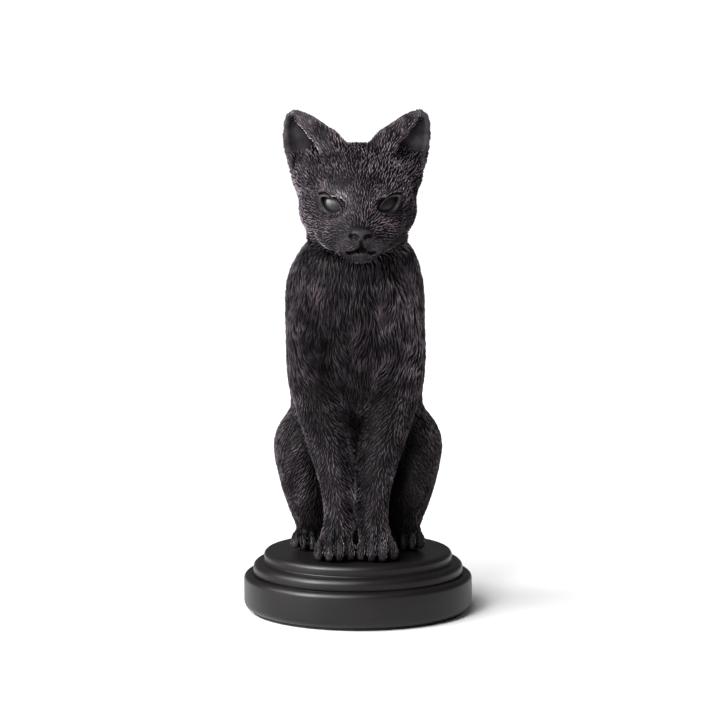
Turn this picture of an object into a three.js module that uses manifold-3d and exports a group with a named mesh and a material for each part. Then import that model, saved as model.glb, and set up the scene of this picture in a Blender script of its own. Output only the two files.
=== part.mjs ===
// A seated cat figurine in matt black ceramic on a stepped round plinth.
// Millimetres, +Z up, the cat looks along -Y. The origin is the centre of the face that the figurine stands on.
//
// The cat is slip-cast in three hollow or solid castings (body, head, tail) that are luted together, with two
// eyes set into the head. The plinth is a moulding seated on a drum, and one bolt from below holds everything.

import * as THREE from "three";
import { mergeVertices } from "three/addons/utils/BufferGeometryUtils.js";
import Module from "manifold-3d";

const wasm = await Module();
wasm.setup();

// ---------------------------------------------------------------- driving dimensions

const felt = { thickness: 1.2, margin: 3.5 };

const drum = { diameter: 103, height: 16, wall: 7, deck: 7, footRound: 3.6, topRound: 2.6 };

const moulding = {
  diameter: 94.6,
  topDiameter: 81,
  height: 10.3,
  bead: 2.9, // height of the half-round bead above its foot
  foot: 2.4, // height of the plain foot below the bead
  spigotDiameter: 56,
  spigotDepth: 2.5,
};

const bolt = { diameter: 6, length: 30, acrossFlats: 10, headHeight: 4, behindCentre: 11 };
const steelWasher = { diameter: 18, thickness: 1.6 };
const fibreWasher = { diameter: 20, thickness: 1.5 };
const insert = { diameter: 9, length: 12 };
const plug = { diameter: 19.4, length: 17 };

const clearance = { bolt: 0.5, thread: 0.1, spigot: 0.3, glue: 0.3 };

const figure = {
  height: 197.5, // from the plinth to the ear tips
  wall: 5, // of the slip casting
  floor: 9, // of the casting over the plinth
};

const eye = { width: 11.4, height: 8.6, dome: 3.4, girdle: 2 };
const neckJoint = { front: [-34, 131.4], back: [14, 147.5] }; // y and z of the flat joint under the jaw
const headTurn = 3; // degrees towards +X
const headCentre = [-1.6, -7, 161];
const forelegShift = -0.9; // of both forelegs and paws, towards -X

const facets = { turned: 60, small: 20, body: 24, limb: 14, toe: 8 };

// ---------------------------------------------------------------- heights that follow from them

const drumBase = felt.thickness;
const drumTop = drumBase + drum.height;
const plinthTop = drumTop + moulding.height;
const deckUnderside = drumTop - drum.deck;
const boltSeat = deckUnderside - fibreWasher.thickness - steelWasher.thickness;
const boltAt = new THREE.Vector2(0, bolt.behindCentre);

const SCULPTED_HEIGHT = 197.5; // the height that the cat's stations below are written for
const figureScale = figure.height / SCULPTED_HEIGHT;
const RUMP_RADIUS = 30; // from the upright axis to where the tail lies against the cat

// ---------------------------------------------------------------- tools

const vec = (x, y, z) => new THREE.Vector3(x, y, z);

/** The solid inside a closed geometry. */
function solid(geometry) {
  const bare = (geometry.index ? geometry.toNonIndexed() : geometry.clone())
    .deleteAttribute("normal")
    .deleteAttribute("uv");
  const merged = mergeVertices(bare, 1e-4);
  const made = new wasm.Manifold(
    new wasm.Mesh({
      numProp: 3,
      vertProperties: merged.attributes.position.array,
      triVerts: new Uint32Array(merged.index.array),
    }),
  );
  if (made.volume() < 0) throw new Error("a geometry is inside out");
  return made;
}

/** A three.js geometry with a solid's surface. */
function geometryOf(made) {
  const mesh = made.getMesh();
  return new THREE.BufferGeometry()
    .setAttribute("position", new THREE.BufferAttribute(new Float32Array(mesh.vertProperties), 3))
    .setIndex(new THREE.BufferAttribute(new Uint32Array(mesh.triVerts), 1));
}

const join = (solids) => solids.reduce((all, next) => all.add(next));

/** The largest of the separate lumps that a cut leaves. */
const mainLump = (made) => made.decompose().sort((a, b) => b.volume() - a.volume())[0];

/** The same geometry on the other side of the plane x = 0, still facing out. */
function mirrored(geometry) {
  const other = geometry.clone().scale(-1, 1, 1);
  const index = other.index.array;
  for (let i = 0; i < index.length; i += 3) [index[i + 1], index[i + 2]] = [index[i + 2], index[i + 1]];
  return other;
}

/** A geometry and its mirror image. */
const both = (geometry) => [geometry, mirrored(geometry)];

/** A closed skin over rings of points that run anticlockwise as seen from the last ring's end. */
function skin(rings) {
  const around = rings[0].length;
  const centre = (ring) => ring.reduce((sum, p) => sum.add(p), vec(0, 0, 0)).divideScalar(ring.length);
  const points = [centre(rings[0]), ...rings.flat(), centre(rings.at(-1))];
  const on = (ring, k) => 1 + ring * around + (k % around);
  const faces = [];
  for (let k = 0; k < around; k++) {
    faces.push(0, on(0, k + 1), on(0, k));
    for (let r = 0; r + 1 < rings.length; r++) {
      faces.push(on(r, k), on(r, k + 1), on(r + 1, k + 1));
      faces.push(on(r, k), on(r + 1, k + 1), on(r + 1, k));
    }
    faces.push(points.length - 1, on(rings.length - 1, k), on(rings.length - 1, k + 1));
  }
  return new THREE.BufferGeometry().setFromPoints(points).setIndex(faces);
}

/**
 * A limb with domed ends. Each station is [x, y, z, half-width, half-depth]; the width lies along `across`, and the
 * stations are joined by a smooth curve.
 */
function limb(stations, { around = facets.limb, along = 3, cap = 3, dome = 0.8, across = vec(1, 0, 0) } = {}) {
  const spine = new THREE.CatmullRomCurve3(stations.map(([x, y, z]) => vec(x, y, z)), false, "centripetal");
  const sizes = new THREE.CatmullRomCurve3(stations.map((s) => vec(s[3], s[4], 0)), false, "centripetal");
  const ring = (u, swell, shift) => {
    const tangent = spine.getTangent(u);
    const side = across.clone().addScaledVector(tangent, -across.dot(tangent)).normalize();
    const deep = tangent.clone().cross(side);
    const half = sizes.getPoint(u);
    const middle = spine.getPoint(u).addScaledVector(tangent, shift * dome * Math.min(half.x, half.y));
    return Array.from({ length: around }, (_, k) => {
      const angle = (2 * Math.PI * k) / around;
      return middle
        .clone()
        .addScaledVector(side, swell * half.x * Math.cos(angle))
        .addScaledVector(deep, swell * half.y * Math.sin(angle));
    });
  };
  const rings = [];
  for (let i = 1; i < cap; i++) {
    const angle = ((Math.PI / 2) * i) / cap;
    rings.push(ring(0, Math.sin(angle), -Math.cos(angle)));
  }
  const steps = (stations.length - 1) * along;
  for (let i = 0; i <= steps; i++) rings.push(ring(i / steps, 1, 0));
  for (let i = cap - 1; i > 0; i--) {
    const angle = ((Math.PI / 2) * i) / cap;
    rings.push(ring(1, Math.sin(angle), Math.cos(angle)));
  }
  return skin(rings);
}

/** An ellipsoid with the given centre and half sizes, turned by Euler angles in degrees. */
function ellipsoid(centre, half, turn = [0, 0, 0], around = facets.limb) {
  const rotation = new THREE.Euler(...turn.map(THREE.MathUtils.degToRad));
  return new THREE.SphereGeometry(1, around, Math.round(around * 0.6))
    .scale(...half)
    .applyMatrix4(new THREE.Matrix4().makeRotationFromEuler(rotation))
    .translate(...centre);
}

/** A solid turned about an upright axis, from a closed [radius, height] outline that runs anticlockwise. */
function turned(outline, { at = new THREE.Vector2(), around = facets.turned } = {}) {
  const closed = [...outline, outline[0]].map(([r, z]) => new THREE.Vector2(r, z));
  return solid(new THREE.LatheGeometry(closed, around).rotateX(Math.PI / 2).translate(at.x, at.y, 0));
}

/** A plain upright rod between two heights. */
const rod = (diameter, low, high, options = {}) =>
  turned([[0, low], [diameter / 2, low], [diameter / 2, high], [0, high]], { around: facets.small, ...options });

/** Points of a round corner or bead in the radius and height plane, from one angle to another in degrees. */
function arc(centreRadius, centreHeight, radius, from, to, steps = 4) {
  return Array.from({ length: steps + 1 }, (_, i) => {
    const angle = THREE.MathUtils.degToRad(from + ((to - from) * i) / steps);
    return [centreRadius + radius * Math.cos(angle), centreHeight + radius * Math.sin(angle)];
  });
}

// ---------------------------------------------------------------- the cat, as sculpted
// Stations are in millimetres above the plinth, for a cat of SCULPTED_HEIGHT.

/** Hips, belly, back, shoulders and neck. */
function trunk() {
  return limb(
    [
      [0, 10.5, 3, 21, 18],
      [0, 12, 20, 25.5, 21],
      [0, 11, 40, 27, 22.5],
      [-0.4, 8, 60, 28.8, 22.5],
      [-1, 4, 80, 30.8, 22.5],
      [-1.3, 0, 100, 31, 22],
      [-1.4, -3.4, 117, 31, 20.8],
      [-1.6, -6, 130, 28.8, 19.2],
      [-1.6, -7, 142, 25, 18],
      [-1.6, -7, 156, 20.5, 16],
    ],
    { around: facets.body, along: 2 },
  );
}

/** The deep chest, running down to a point between the forelegs. */
function chest() {
  return limb(
    [
      [-1.4, -14, 131, 21, 11],
      [-1, -15, 116, 24, 14],
      [-0.6, -15.5, 100, 21.5, 15],
      [0, -15, 84, 14, 13],
      [0, -11, 66, 6, 8.5],
    ],
    { along: 2, around: 18 },
  );
}

/** A foreleg from the shoulder to the wrist, on the +X side. */
function foreleg() {
  return limb(
    [
      [16.4, -7, 117, 12, 13],
      [18, -9, 98, 12.8, 14.6],
      [17.6, -11, 80, 13, 13.6],
      [14.2, -14, 62, 11.2, 11.6],
      [10.4, -17.5, 44, 9.2, 9.2],
      [8.4, -20.5, 30, 7.4, 7.7],
      [8, -22.6, 17, 6.8, 6.9],
      [8.8, -24, 7, 7.4, 7.2],
    ],
    { along: 2 },
  );
}

/** A forepaw of four toes, on the +X side. */
function forepaw() {
  const middle = 9.4;
  const spread = [-7, -2.4, 2.4, 7];
  const reach = [-33, -35.2, -35.2, -32.6];
  const palm = ellipsoid([middle, -26, 4.2], [9.2, 8, 6], [10, 0, 0]);
  const toes = spread.map((x, i) =>
    limb(
      [
        [middle + 0.55 * x, -23, 9, 2.4, 2.4],
        [middle + 0.85 * x, reach[i] + 5, 6.6, 2.7, 2.7],
        [middle + x, reach[i] + 1.6, 2.6, 2.7, 2.6],
      ],
      { around: facets.toe, along: 2, cap: 3 },
    ),
  );
  return [palm, ...toes];
}

/** The folded hind leg, from the knee down to the hock, on the +X side. */
function haunch() {
  return limb(
    [
      [23.8, 1, 60, 8.4, 9],
      [25.4, 4.5, 50, 12.8, 16.5],
      [24.6, 8, 40, 12.7, 21.5],
      [22.7, 10, 28, 11.8, 22.5],
      [20.4, 11, 16, 10, 20],
      [18, 11, 7, 7.8, 16],
    ],
    { along: 2, around: 16 },
  );
}

/** A hind foot of four toes lying flat on the plinth, on the +X side. */
function hindFoot() {
  const spread = [-5.6, -1.9, 1.9, 5.6];
  const reach = [-6.5, -9, -8.6, -5.6];
  const sole = limb(
    [
      [20, 20, 4.5, 6, 5],
      [21.5, 8, 5, 7, 6],
      [22.4, -1, 4.6, 7.6, 5.4],
    ],
    { along: 2 },
  );
  const toes = spread.map((x, i) =>
    limb(
      [
        [22.4 + 0.7 * x, 3, 7.4, 2.2, 2.4],
        [22.4 + 0.95 * x, reach[i] + 4.5, 5.6, 2.4, 2.6],
        [22.4 + x, reach[i] + 1.5, 2.4, 2.4, 2.4],
      ],
      { around: facets.toe, along: 2, cap: 3 },
    ),
  );
  return [sole, ...toes];
}

/** The tail, curled round the rump on the plinth. */
function tail() {
  return limb(
    [
      [-2, 21, 36, 7, 6.5],
      [-3, 29.6, 22, 6.6, 6.2],
      [-1.5, 34.4, 10, 6.2, 6],
      [5.5, 36.4, 5.6, 5.6, 5.4],
      [14.5, 34.4, 5.2, 5.1, 5.1],
      [22, 28.6, 4.8, 4.6, 4.6],
      [25.6, 21.4, 4, 3.6, 3.8],
    ],
    { along: 2, across: vec(1, 1, 1), around: 12 },
  );
}

/** The skull and face, with cheeks, nose, muzzle, chin and brows, about the head's own centre. */
function headForms() {
  const skull = limb(
    [
      [0, 22.6, 3.4, 11.6, 10],
      [0, 19, 2.8, 18.4, 16.2],
      [0, 12.6, 1.8, 23.6, 20.8],
      [0, 4, 0.4, 26, 23],
      [0, -6, -2, 25.8, 22.8],
      [0, -14, -5.6, 23.4, 20],
      [0, -20, -9.6, 19, 16.6],
      [0, -25, -14.2, 14.6, 12.8],
      [0, -29.4, -17.8, 11.4, 9.4],
      [0, -32, -18.8, 8, 7],
    ],
    { around: facets.body, along: 1, dome: 0.5 },
  );
  const bridge = limb(
    [
      [0, -14.6, 9.6, 9, 5],
      [0, -20.4, 2.4, 7.2, 5.2],
      [0, -26, -5.6, 5.6, 4.8],
      [0, -31, -12.4, 5, 4],
    ],
    { along: 1 },
  );
  return [
    skull,
    bridge,
    ellipsoid([0, -32.6, -15], [5.2, 3.2, 3], [-20, 0, 0]),
    ellipsoid([0, -26.6, -24], [6.8, 6, 4.2]),
    ...both(ellipsoid([14.2, -5, -6.4], [12.8, 15.4, 13.2], [0, 0, -8])),
    ...both(ellipsoid([6, -28, -19.2], [6.6, 6.8, 5.6], [0, 0, -14])),
    ...both(ellipsoid([11.6, -17.6, 4.2], [9.4, 4.8, 4], [22, 16, -26])),
  ];
}

/** The hollow that an eye lies in, on the +X side. */
const eyeSocket = () => ellipsoid([12.2, -25.8, -3.4], [7.4, 6.6, 4.8], [0, 12, 26]);

/**
 * A cupped ear, on the +X side. Each station gives the outer and the inner edge of a slice, how far its back bulges
 * and its wall.
 */
function ear() {
  const stations = [
    { outer: [22, 4, -6], inner: [2, -1, 15], bulge: 11, wall: 5 },
    { outer: [27.2, 4, 3], inner: [5.4, -3.5, 23.2], bulge: 10, wall: 4.2 },
    { outer: [30.4, 3.6, 14], inner: [12, -3.4, 29], bulge: 8, wall: 3.6 },
    { outer: [32.6, 3, 25], inner: [20, -1.6, 34.4], bulge: 5, wall: 3 },
    { outer: [32.9, 2.4, 31], inner: [25.4, 0.2, 36.6], bulge: 2.4, wall: 2.6 },
    { outer: [31.9, 2, 34.6], inner: [29, 1.4, 37], bulge: 0.8, wall: 1.8 },
  ];
  const away = vec(-0.3, 1, 0.12).normalize(); // from the opening of the cup to its back
  const through = (points) => new THREE.CatmullRomCurve3(points, false, "centripetal");
  const outer = through(stations.map((s) => vec(...s.outer)));
  const inner = through(stations.map((s) => vec(...s.inner)));
  const depth = through(stations.map((s) => vec(s.bulge, s.wall, 0)));
  const around = 20;
  const slices = 12;
  const rings = Array.from({ length: slices + 1 }, (_, i) => {
    const u = i / slices;
    const [from, to, { x: bulge, y: wall }] = [outer.getPoint(u), inner.getPoint(u), depth.getPoint(u)];
    return Array.from({ length: around }, (_, k) => {
      const angle = (2 * Math.PI * k) / around;
      const share = (1 - Math.cos(angle)) / 2; // 0 at the outer edge, 1 at the inner edge
      const arch = bulge * (1 - (2 * share - 1) ** 2);
      return from.clone().lerp(to, share).addScaledVector(away, arch + (wall / 2) * Math.sin(angle) * 1.1);
    });
  });
  return skin(rings);
}

/** An oval cabochon with its flat back at y = 0, looking along -Y, grown on every side by `gap`. */
function cabochon(gap = 0) {
  const girdle = eye.girdle + gap;
  const dome = arc(0, 0, 1, 0, 90).map(([r, h]) => [r, girdle + h * eye.dome]);
  const outline = [[0, -gap], [1, -gap], ...dome, [0, -gap]];
  return new THREE.LatheGeometry(outline.map(([r, y]) => new THREE.Vector2(r, y)), facets.small)
    .scale(eye.width / 2 + gap, 1, eye.height / 2 + gap)
    .rotateX(Math.PI);
}

/** Puts a geometry made about the head's centre in its place on the neck. */
const onHead = (geometry) =>
  geometry.rotateZ(THREE.MathUtils.degToRad(headTurn)).translate(...headCentre);

/** Puts a geometry of the sculpted cat on the plinth, at the figure's height. */
const onPlinth = (geometry) => geometry.scale(figureScale, figureScale, figureScale).translate(0, 0, plinthTop);

// ---------------------------------------------------------------- the castings

/** The solid of the given geometries of the sculpted cat, joined and in place. */
const catSolid = (geometries) => join(geometries.map((geometry) => solid(onPlinth(geometry))));

/** Everything below the plane of the neck joint, raised or lowered by half the glue line. */
function belowNeck(shift) {
  const [frontY, frontZ] = neckJoint.front;
  const [backY, backZ] = neckJoint.back;
  const tilt = Math.atan2(backZ - frontZ, backY - frontY);
  const size = 400;
  const block = new THREE.BoxGeometry(size, size, size)
    .translate(0, 0, -size / 2 + shift / figureScale)
    .rotateX(tilt)
    .translate(0, (frontY + backY) / 2, (frontZ + backZ) / 2);
  return solid(onPlinth(block));
}

/** The hollow that the slip leaves when it is poured out, through the body and up into the head. */
function castingHollow() {
  const wall = figure.wall / figureScale;
  const floor = figure.floor / figureScale;
  const stations = [
    [0, 11, floor + 14, 25 - wall, 19 - wall],
    [0, 11, 40, 26 - wall, 22 - wall],
    [0, 7, 62, 24 - wall, 22 - wall],
    [0, 3, 84, 25 - wall, 21 - wall],
    [0, 0, 105, 25 - wall, 20 - wall],
    [-0.5, -0.5, 124, 23 - wall, 17 - wall],
    [-1.2, -0.5, 140, 19 - wall, 15.5 - wall],
    [-1.6, -1, 152, 20 - wall, 19 - wall],
    [-1.6, -1, 164, 21 - wall, 20 - wall],
  ];
  return solid(onPlinth(limb(stations, { along: 1, around: 16, dome: 0.9 })));
}

/** The drain hole of the casting, which the fixing plug is glued into. */
const drainHole = () => rod(plug.diameter + 2 * clearance.glue, plinthTop - 1, plinthTop + plug.length + 1, { at: boltAt });

/** Everything below the plinth's top face. */
const plinthSpace = () => solid(new THREE.BoxGeometry(400, 400, 200).translate(0, 0, plinthTop - 100));

function makeBody() {
  const forelegs = [foreleg(), ...forepaw()].flatMap(both).map((form) => form.translate(forelegShift, 0, 0));
  const hindlegs = [haunch(), ...hindFoot()].flatMap(both);
  const forms = [trunk(), chest(), ...forelegs, ...hindlegs];
  return catSolid(forms)
    .intersect(belowNeck(-clearance.glue / 2))
    .subtract(castingHollow())
    .subtract(drainHole())
    .subtract(plinthSpace());
}

function makeHead() {
  const forms = [...headForms(), ...both(ear())].map(onHead);
  return catSolid([...forms, trunk()])
    .subtract(belowNeck(clearance.glue / 2))
    .subtract(castingHollow())
    .subtract(catSolid(both(eyeSocket()).map(onHead)))
    .subtract(catSolid([eyeInPlace(1, clearance.glue), eyeInPlace(-1, clearance.glue)]));
}

/** An eye, or with a gap the pocket that it is set in, on the cat's own left (side 1) or right (side -1). */
function eyeInPlace(side, gap = 0) {
  const placed = cabochon(gap)
    .rotateY(THREE.MathUtils.degToRad(-26))
    .rotateX(THREE.MathUtils.degToRad(-8))
    .rotateZ(THREE.MathUtils.degToRad(24))
    .translate(11, -16.9, -3);
  return onHead(side > 0 ? placed : mirrored(placed));
}

/** The tail, cut to lie against the rump with a glue line between. */
function makeTail(body) {
  const apart = 1 + clearance.glue / RUMP_RADIUS;
  const rump = body.scale([apart, apart, 1]);
  return mainLump(solid(onPlinth(tail())).subtract(rump).subtract(plinthSpace()));
}

// ---------------------------------------------------------------- the plinth and its fixings

function makeDrum() {
  const radius = drum.diameter / 2;
  const inside = radius - drum.wall;
  const shell = turned([
    [0, deckUnderside],
    [inside, deckUnderside],
    [inside, drumBase],
    ...arc(radius - drum.footRound, drumBase + drum.footRound, drum.footRound, -90, 0),
    ...arc(radius - drum.topRound, drumTop - drum.topRound, drum.topRound, 0, 90),
    [0, drumTop],
  ]);
  const recess = rod(
    moulding.spigotDiameter + 2 * clearance.spigot,
    drumTop - moulding.spigotDepth - clearance.spigot,
    drumTop + 1,
    { around: facets.turned },
  );
  return shell.subtract(recess).subtract(boltHole(deckUnderside - 1, drumTop + 1));
}

const boltHole = (low, high) => rod(bolt.diameter + 2 * clearance.bolt, low, high, { at: boltAt });

function makeMoulding() {
  const footRadius = moulding.diameter / 2;
  const topRadius = moulding.topDiameter / 2;
  const beadTop = drumTop + moulding.foot + moulding.bead;
  const step = topRadius + 2.2;
  const bead = arc(footRadius - moulding.bead, beadTop - moulding.bead, moulding.bead, 0, 90);
  const rise = plinthTop - beadTop;
  const disc = turned([
    [0, drumTop - moulding.spigotDepth],
    [moulding.spigotDiameter / 2, drumTop - moulding.spigotDepth],
    [moulding.spigotDiameter / 2, drumTop],
    [footRadius, drumTop],
    ...bead,
    [step, beadTop],
    ...arc(step + 0.2 - rise * 0.45, plinthTop - rise * 0.45, rise * 0.45, 0, 90),
    [0, plinthTop],
  ]);
  return disc.subtract(boltHole(drumTop - moulding.spigotDepth - 1, plinthTop + 1));
}

const makeFelt = () => rod(drum.diameter - 2 * felt.margin, 0, felt.thickness, { around: facets.turned });

const washer = (size, low) =>
  rod(size.diameter, low, low + size.thickness, { at: boltAt }).subtract(boltHole(low - 1, low + size.thickness + 1));

function makeBolt() {
  const headCorner = bolt.acrossFlats / Math.cos(Math.PI / 6);
  const head = rod(headCorner, boltSeat - bolt.headHeight, boltSeat, { at: boltAt, around: 6 });
  return head.add(rod(bolt.diameter, boltSeat - 0.5, boltSeat + bolt.length, { at: boltAt }));
}

function makePlug() {
  const body = rod(plug.diameter, plinthTop, plinthTop + plug.length, { at: boltAt });
  const seat = rod(insert.diameter + 2 * clearance.glue, plinthTop - 1, plinthTop + insert.length + clearance.glue, {
    at: boltAt,
  });
  return body.subtract(seat);
}

function makeInsert() {
  const bush = rod(insert.diameter, plinthTop, plinthTop + insert.length, { at: boltAt });
  return bush.subtract(
    rod(bolt.diameter + 2 * clearance.thread, plinthTop - 1, plinthTop + insert.length + 1, { at: boltAt }),
  );
}

// ---------------------------------------------------------------- materials

const finish = (color, roughness, metalness = 0) => new THREE.MeshStandardMaterial({ color, roughness, metalness });
const ceramic = finish(0x232226, 0.55);
const eyeGlaze = finish(0x2b2c2e, 0.28);
const plinthGlaze = finish(0x2c292c, 0.48);
const feltBlack = finish(0x0c0c0d, 0.95);
const steel = finish(0xa9abae, 0.35, 1);
const brass = finish(0xb58c46, 0.35, 1);
const fibre = finish(0x5a2a20, 0.8);
const plugResin = finish(0xb9aa88, 0.7);

// ---------------------------------------------------------------- assembly

const figurine = new THREE.Group();

function addPiece(name, made, material) {
  const mesh = new THREE.Mesh(geometryOf(made), material);
  mesh.name = name;
  figurine.add(mesh);
}

const body = makeBody();
addPiece("cat_body", body, ceramic);
addPiece("cat_head", makeHead(), ceramic);
addPiece("tail", makeTail(body), ceramic);
addPiece("eye_left", solid(onPlinth(eyeInPlace(1))), eyeGlaze);
addPiece("eye_right", solid(onPlinth(eyeInPlace(-1))), eyeGlaze);
addPiece("plinth_moulding", makeMoulding(), plinthGlaze);
addPiece("plinth_drum", makeDrum(), plinthGlaze);
addPiece("felt_pad", makeFelt(), feltBlack);
addPiece("fixing_plug", makePlug(), plugResin);
addPiece("threaded_insert", makeInsert(), brass);
addPiece("fixing_bolt", makeBolt(), steel);
addPiece("steel_washer", washer(steelWasher, boltSeat), steel);
addPiece("fibre_washer", washer(fibreWasher, boltSeat + steelWasher.thickness), fibre);

export default figurine;
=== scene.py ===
"""A seated cat figurine in matt black ceramic, with carved fur, on a stepped round plinth.

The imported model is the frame. Its cat castings are smooth and faceted, so the cat's skin is
taken from them as a block of signed distances, smoothed like clay, and given its lids, nostrils,
mouth and other fine cuts. Tapered locks of fur are then laid over the skin along the direction
that the coat grows in. Lengths in the classes are millimetres, except in the studio, which is in
metres like Blender's objects.
"""

import logging
import math
from collections.abc import Callable, Sequence
from dataclasses import dataclass, field
from enum import Enum
from functools import cache

import bmesh
import bpy
import numpy as np
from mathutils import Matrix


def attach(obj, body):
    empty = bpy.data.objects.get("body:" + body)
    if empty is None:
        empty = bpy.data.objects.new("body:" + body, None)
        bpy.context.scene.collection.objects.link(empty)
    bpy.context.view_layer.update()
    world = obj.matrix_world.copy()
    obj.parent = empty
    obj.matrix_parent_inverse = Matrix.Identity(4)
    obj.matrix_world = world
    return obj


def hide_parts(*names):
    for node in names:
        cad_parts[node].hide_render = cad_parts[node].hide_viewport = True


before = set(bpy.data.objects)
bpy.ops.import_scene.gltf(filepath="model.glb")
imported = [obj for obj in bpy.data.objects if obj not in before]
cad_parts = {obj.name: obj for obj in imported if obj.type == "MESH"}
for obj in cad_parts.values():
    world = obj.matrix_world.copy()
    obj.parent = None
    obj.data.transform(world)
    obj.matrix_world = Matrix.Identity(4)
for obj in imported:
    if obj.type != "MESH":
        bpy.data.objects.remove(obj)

import openvdb as vdb
from mathutils import Vector

log = logging.getLogger("figurine")

MM = 0.001
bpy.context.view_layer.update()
CAD_NODES: dict[str, bpy.types.Object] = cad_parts

# ---------------------------------------------------------------------------- the cat's landmarks

PLINTH_TOP = 27.5  # height of the plinth's top face
HEAD_CENTRE = np.array([-1.6, -7.0, PLINTH_TOP + 161.0])
HEAD_TURN = math.radians(3)
NECK_FRONT = np.array([-34.0, PLINTH_TOP + 131.4])  # y and z of the joint under the jaw
NECK_BACK = np.array([14.0, PLINTH_TOP + 147.5])
EYE_CENTRE = np.array([11.0, -16.9, -3.0])  # on the +X side, in the head's own frame
EYE_TURNS = (math.radians(-26), math.radians(-8), math.radians(24))  # about Y, then X, then Z
LEAN_HEIGHTS = (152, 168)  # between these the head's lean comes in
LEAN = 1.3  # how far the head leans towards +X at its middle
LEAN_CLOSING = 0.03  # how much less it leans for each millimetre of x


class Slot(Enum):
    """Names for the material slots of the pieces made here; settle takes one but does not use it.
    """

    CAT = "cat_ceramic"
    EYE = "eye_ceramic"
    PLINTH = "plinth_ceramic"


# ---------------------------------------------------------------------------- small maths


def smooth_step(value: np.ndarray, low: float, high: float) -> np.ndarray:
    """A share that eases from 0 at low to 1 at high.

    Args:
        value: Any array.
        low: Where the share leaves 0.
        high: Where the share reaches 1. It may be less than low.

    Returns:
        The shares, in the shape of value.
    """
    share = np.clip((value - low) / (high - low), 0.0, 1.0)
    return share * share * (3.0 - 2.0 * share)


def turned(points: np.ndarray, angle: float, axis: int) -> np.ndarray:
    """Points turned about a coordinate axis by the right-hand rule.

    Args:
        points: Rows of x, y and z.
        angle: The angle in radians.
        axis: 0, 1 or 2 for X, Y or Z.

    Returns:
        The turned rows.
    """
    first, second = [(1, 2), (2, 0), (0, 1)][axis]
    out = np.array(points, float)
    cos, sin = math.cos(angle), math.sin(angle)
    out[..., first] = points[..., first] * cos - points[..., second] * sin
    out[..., second] = points[..., first] * sin + points[..., second] * cos
    return out


def unit(vectors: np.ndarray) -> np.ndarray:
    """The rows scaled to length one."""
    return vectors / np.maximum(np.linalg.norm(vectors, axis=-1, keepdims=True), 1e-9)


def leant(points: np.ndarray, back: bool = False) -> np.ndarray:
    """The rows with the head eased towards +X of its casting, most at its -X side.

    Args:
        points: Rows in the figurine's frame, in millimetres.
        back: Whether to undo the lean instead.

    Returns:
        The moved rows.
    """
    out = np.array(points, float)
    share = smooth_step(out[..., 2], *LEAN_HEIGHTS)
    if back:
        out[..., 0] = (out[..., 0] - LEAN * share) / (1 - LEAN_CLOSING * share)
    else:
        out[..., 0] += share * (LEAN - LEAN_CLOSING * out[..., 0])
    return out


def head_from_world(points: np.ndarray) -> np.ndarray:
    """Rows in the head's own frame, before it is turned, set on the neck and leant."""
    return turned(leant(points, back=True) - HEAD_CENTRE, -HEAD_TURN, 2)


def world_from_head(points: np.ndarray) -> np.ndarray:
    """Rows of the head's own frame in the figurine's frame."""
    return leant(turned(np.asarray(points, float), HEAD_TURN, 2) + HEAD_CENTRE)


def above_neck_joint(points: np.ndarray) -> np.ndarray:
    """Signed distance of each row above the plane of the neck joint.

    Args:
        points: Rows of x, y and z in millimetres.

    Returns:
        The distances, negative below.
    """
    run = NECK_BACK - NECK_FRONT
    normal = np.array([-run[1], run[0]]) / np.hypot(*run)
    return (points[..., 1:] - NECK_FRONT) @ normal


# ---------------------------------------------------------------------------- clay


CAST_MARGIN = 8  # samples on each side of a casting's surface that hold its distance


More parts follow.
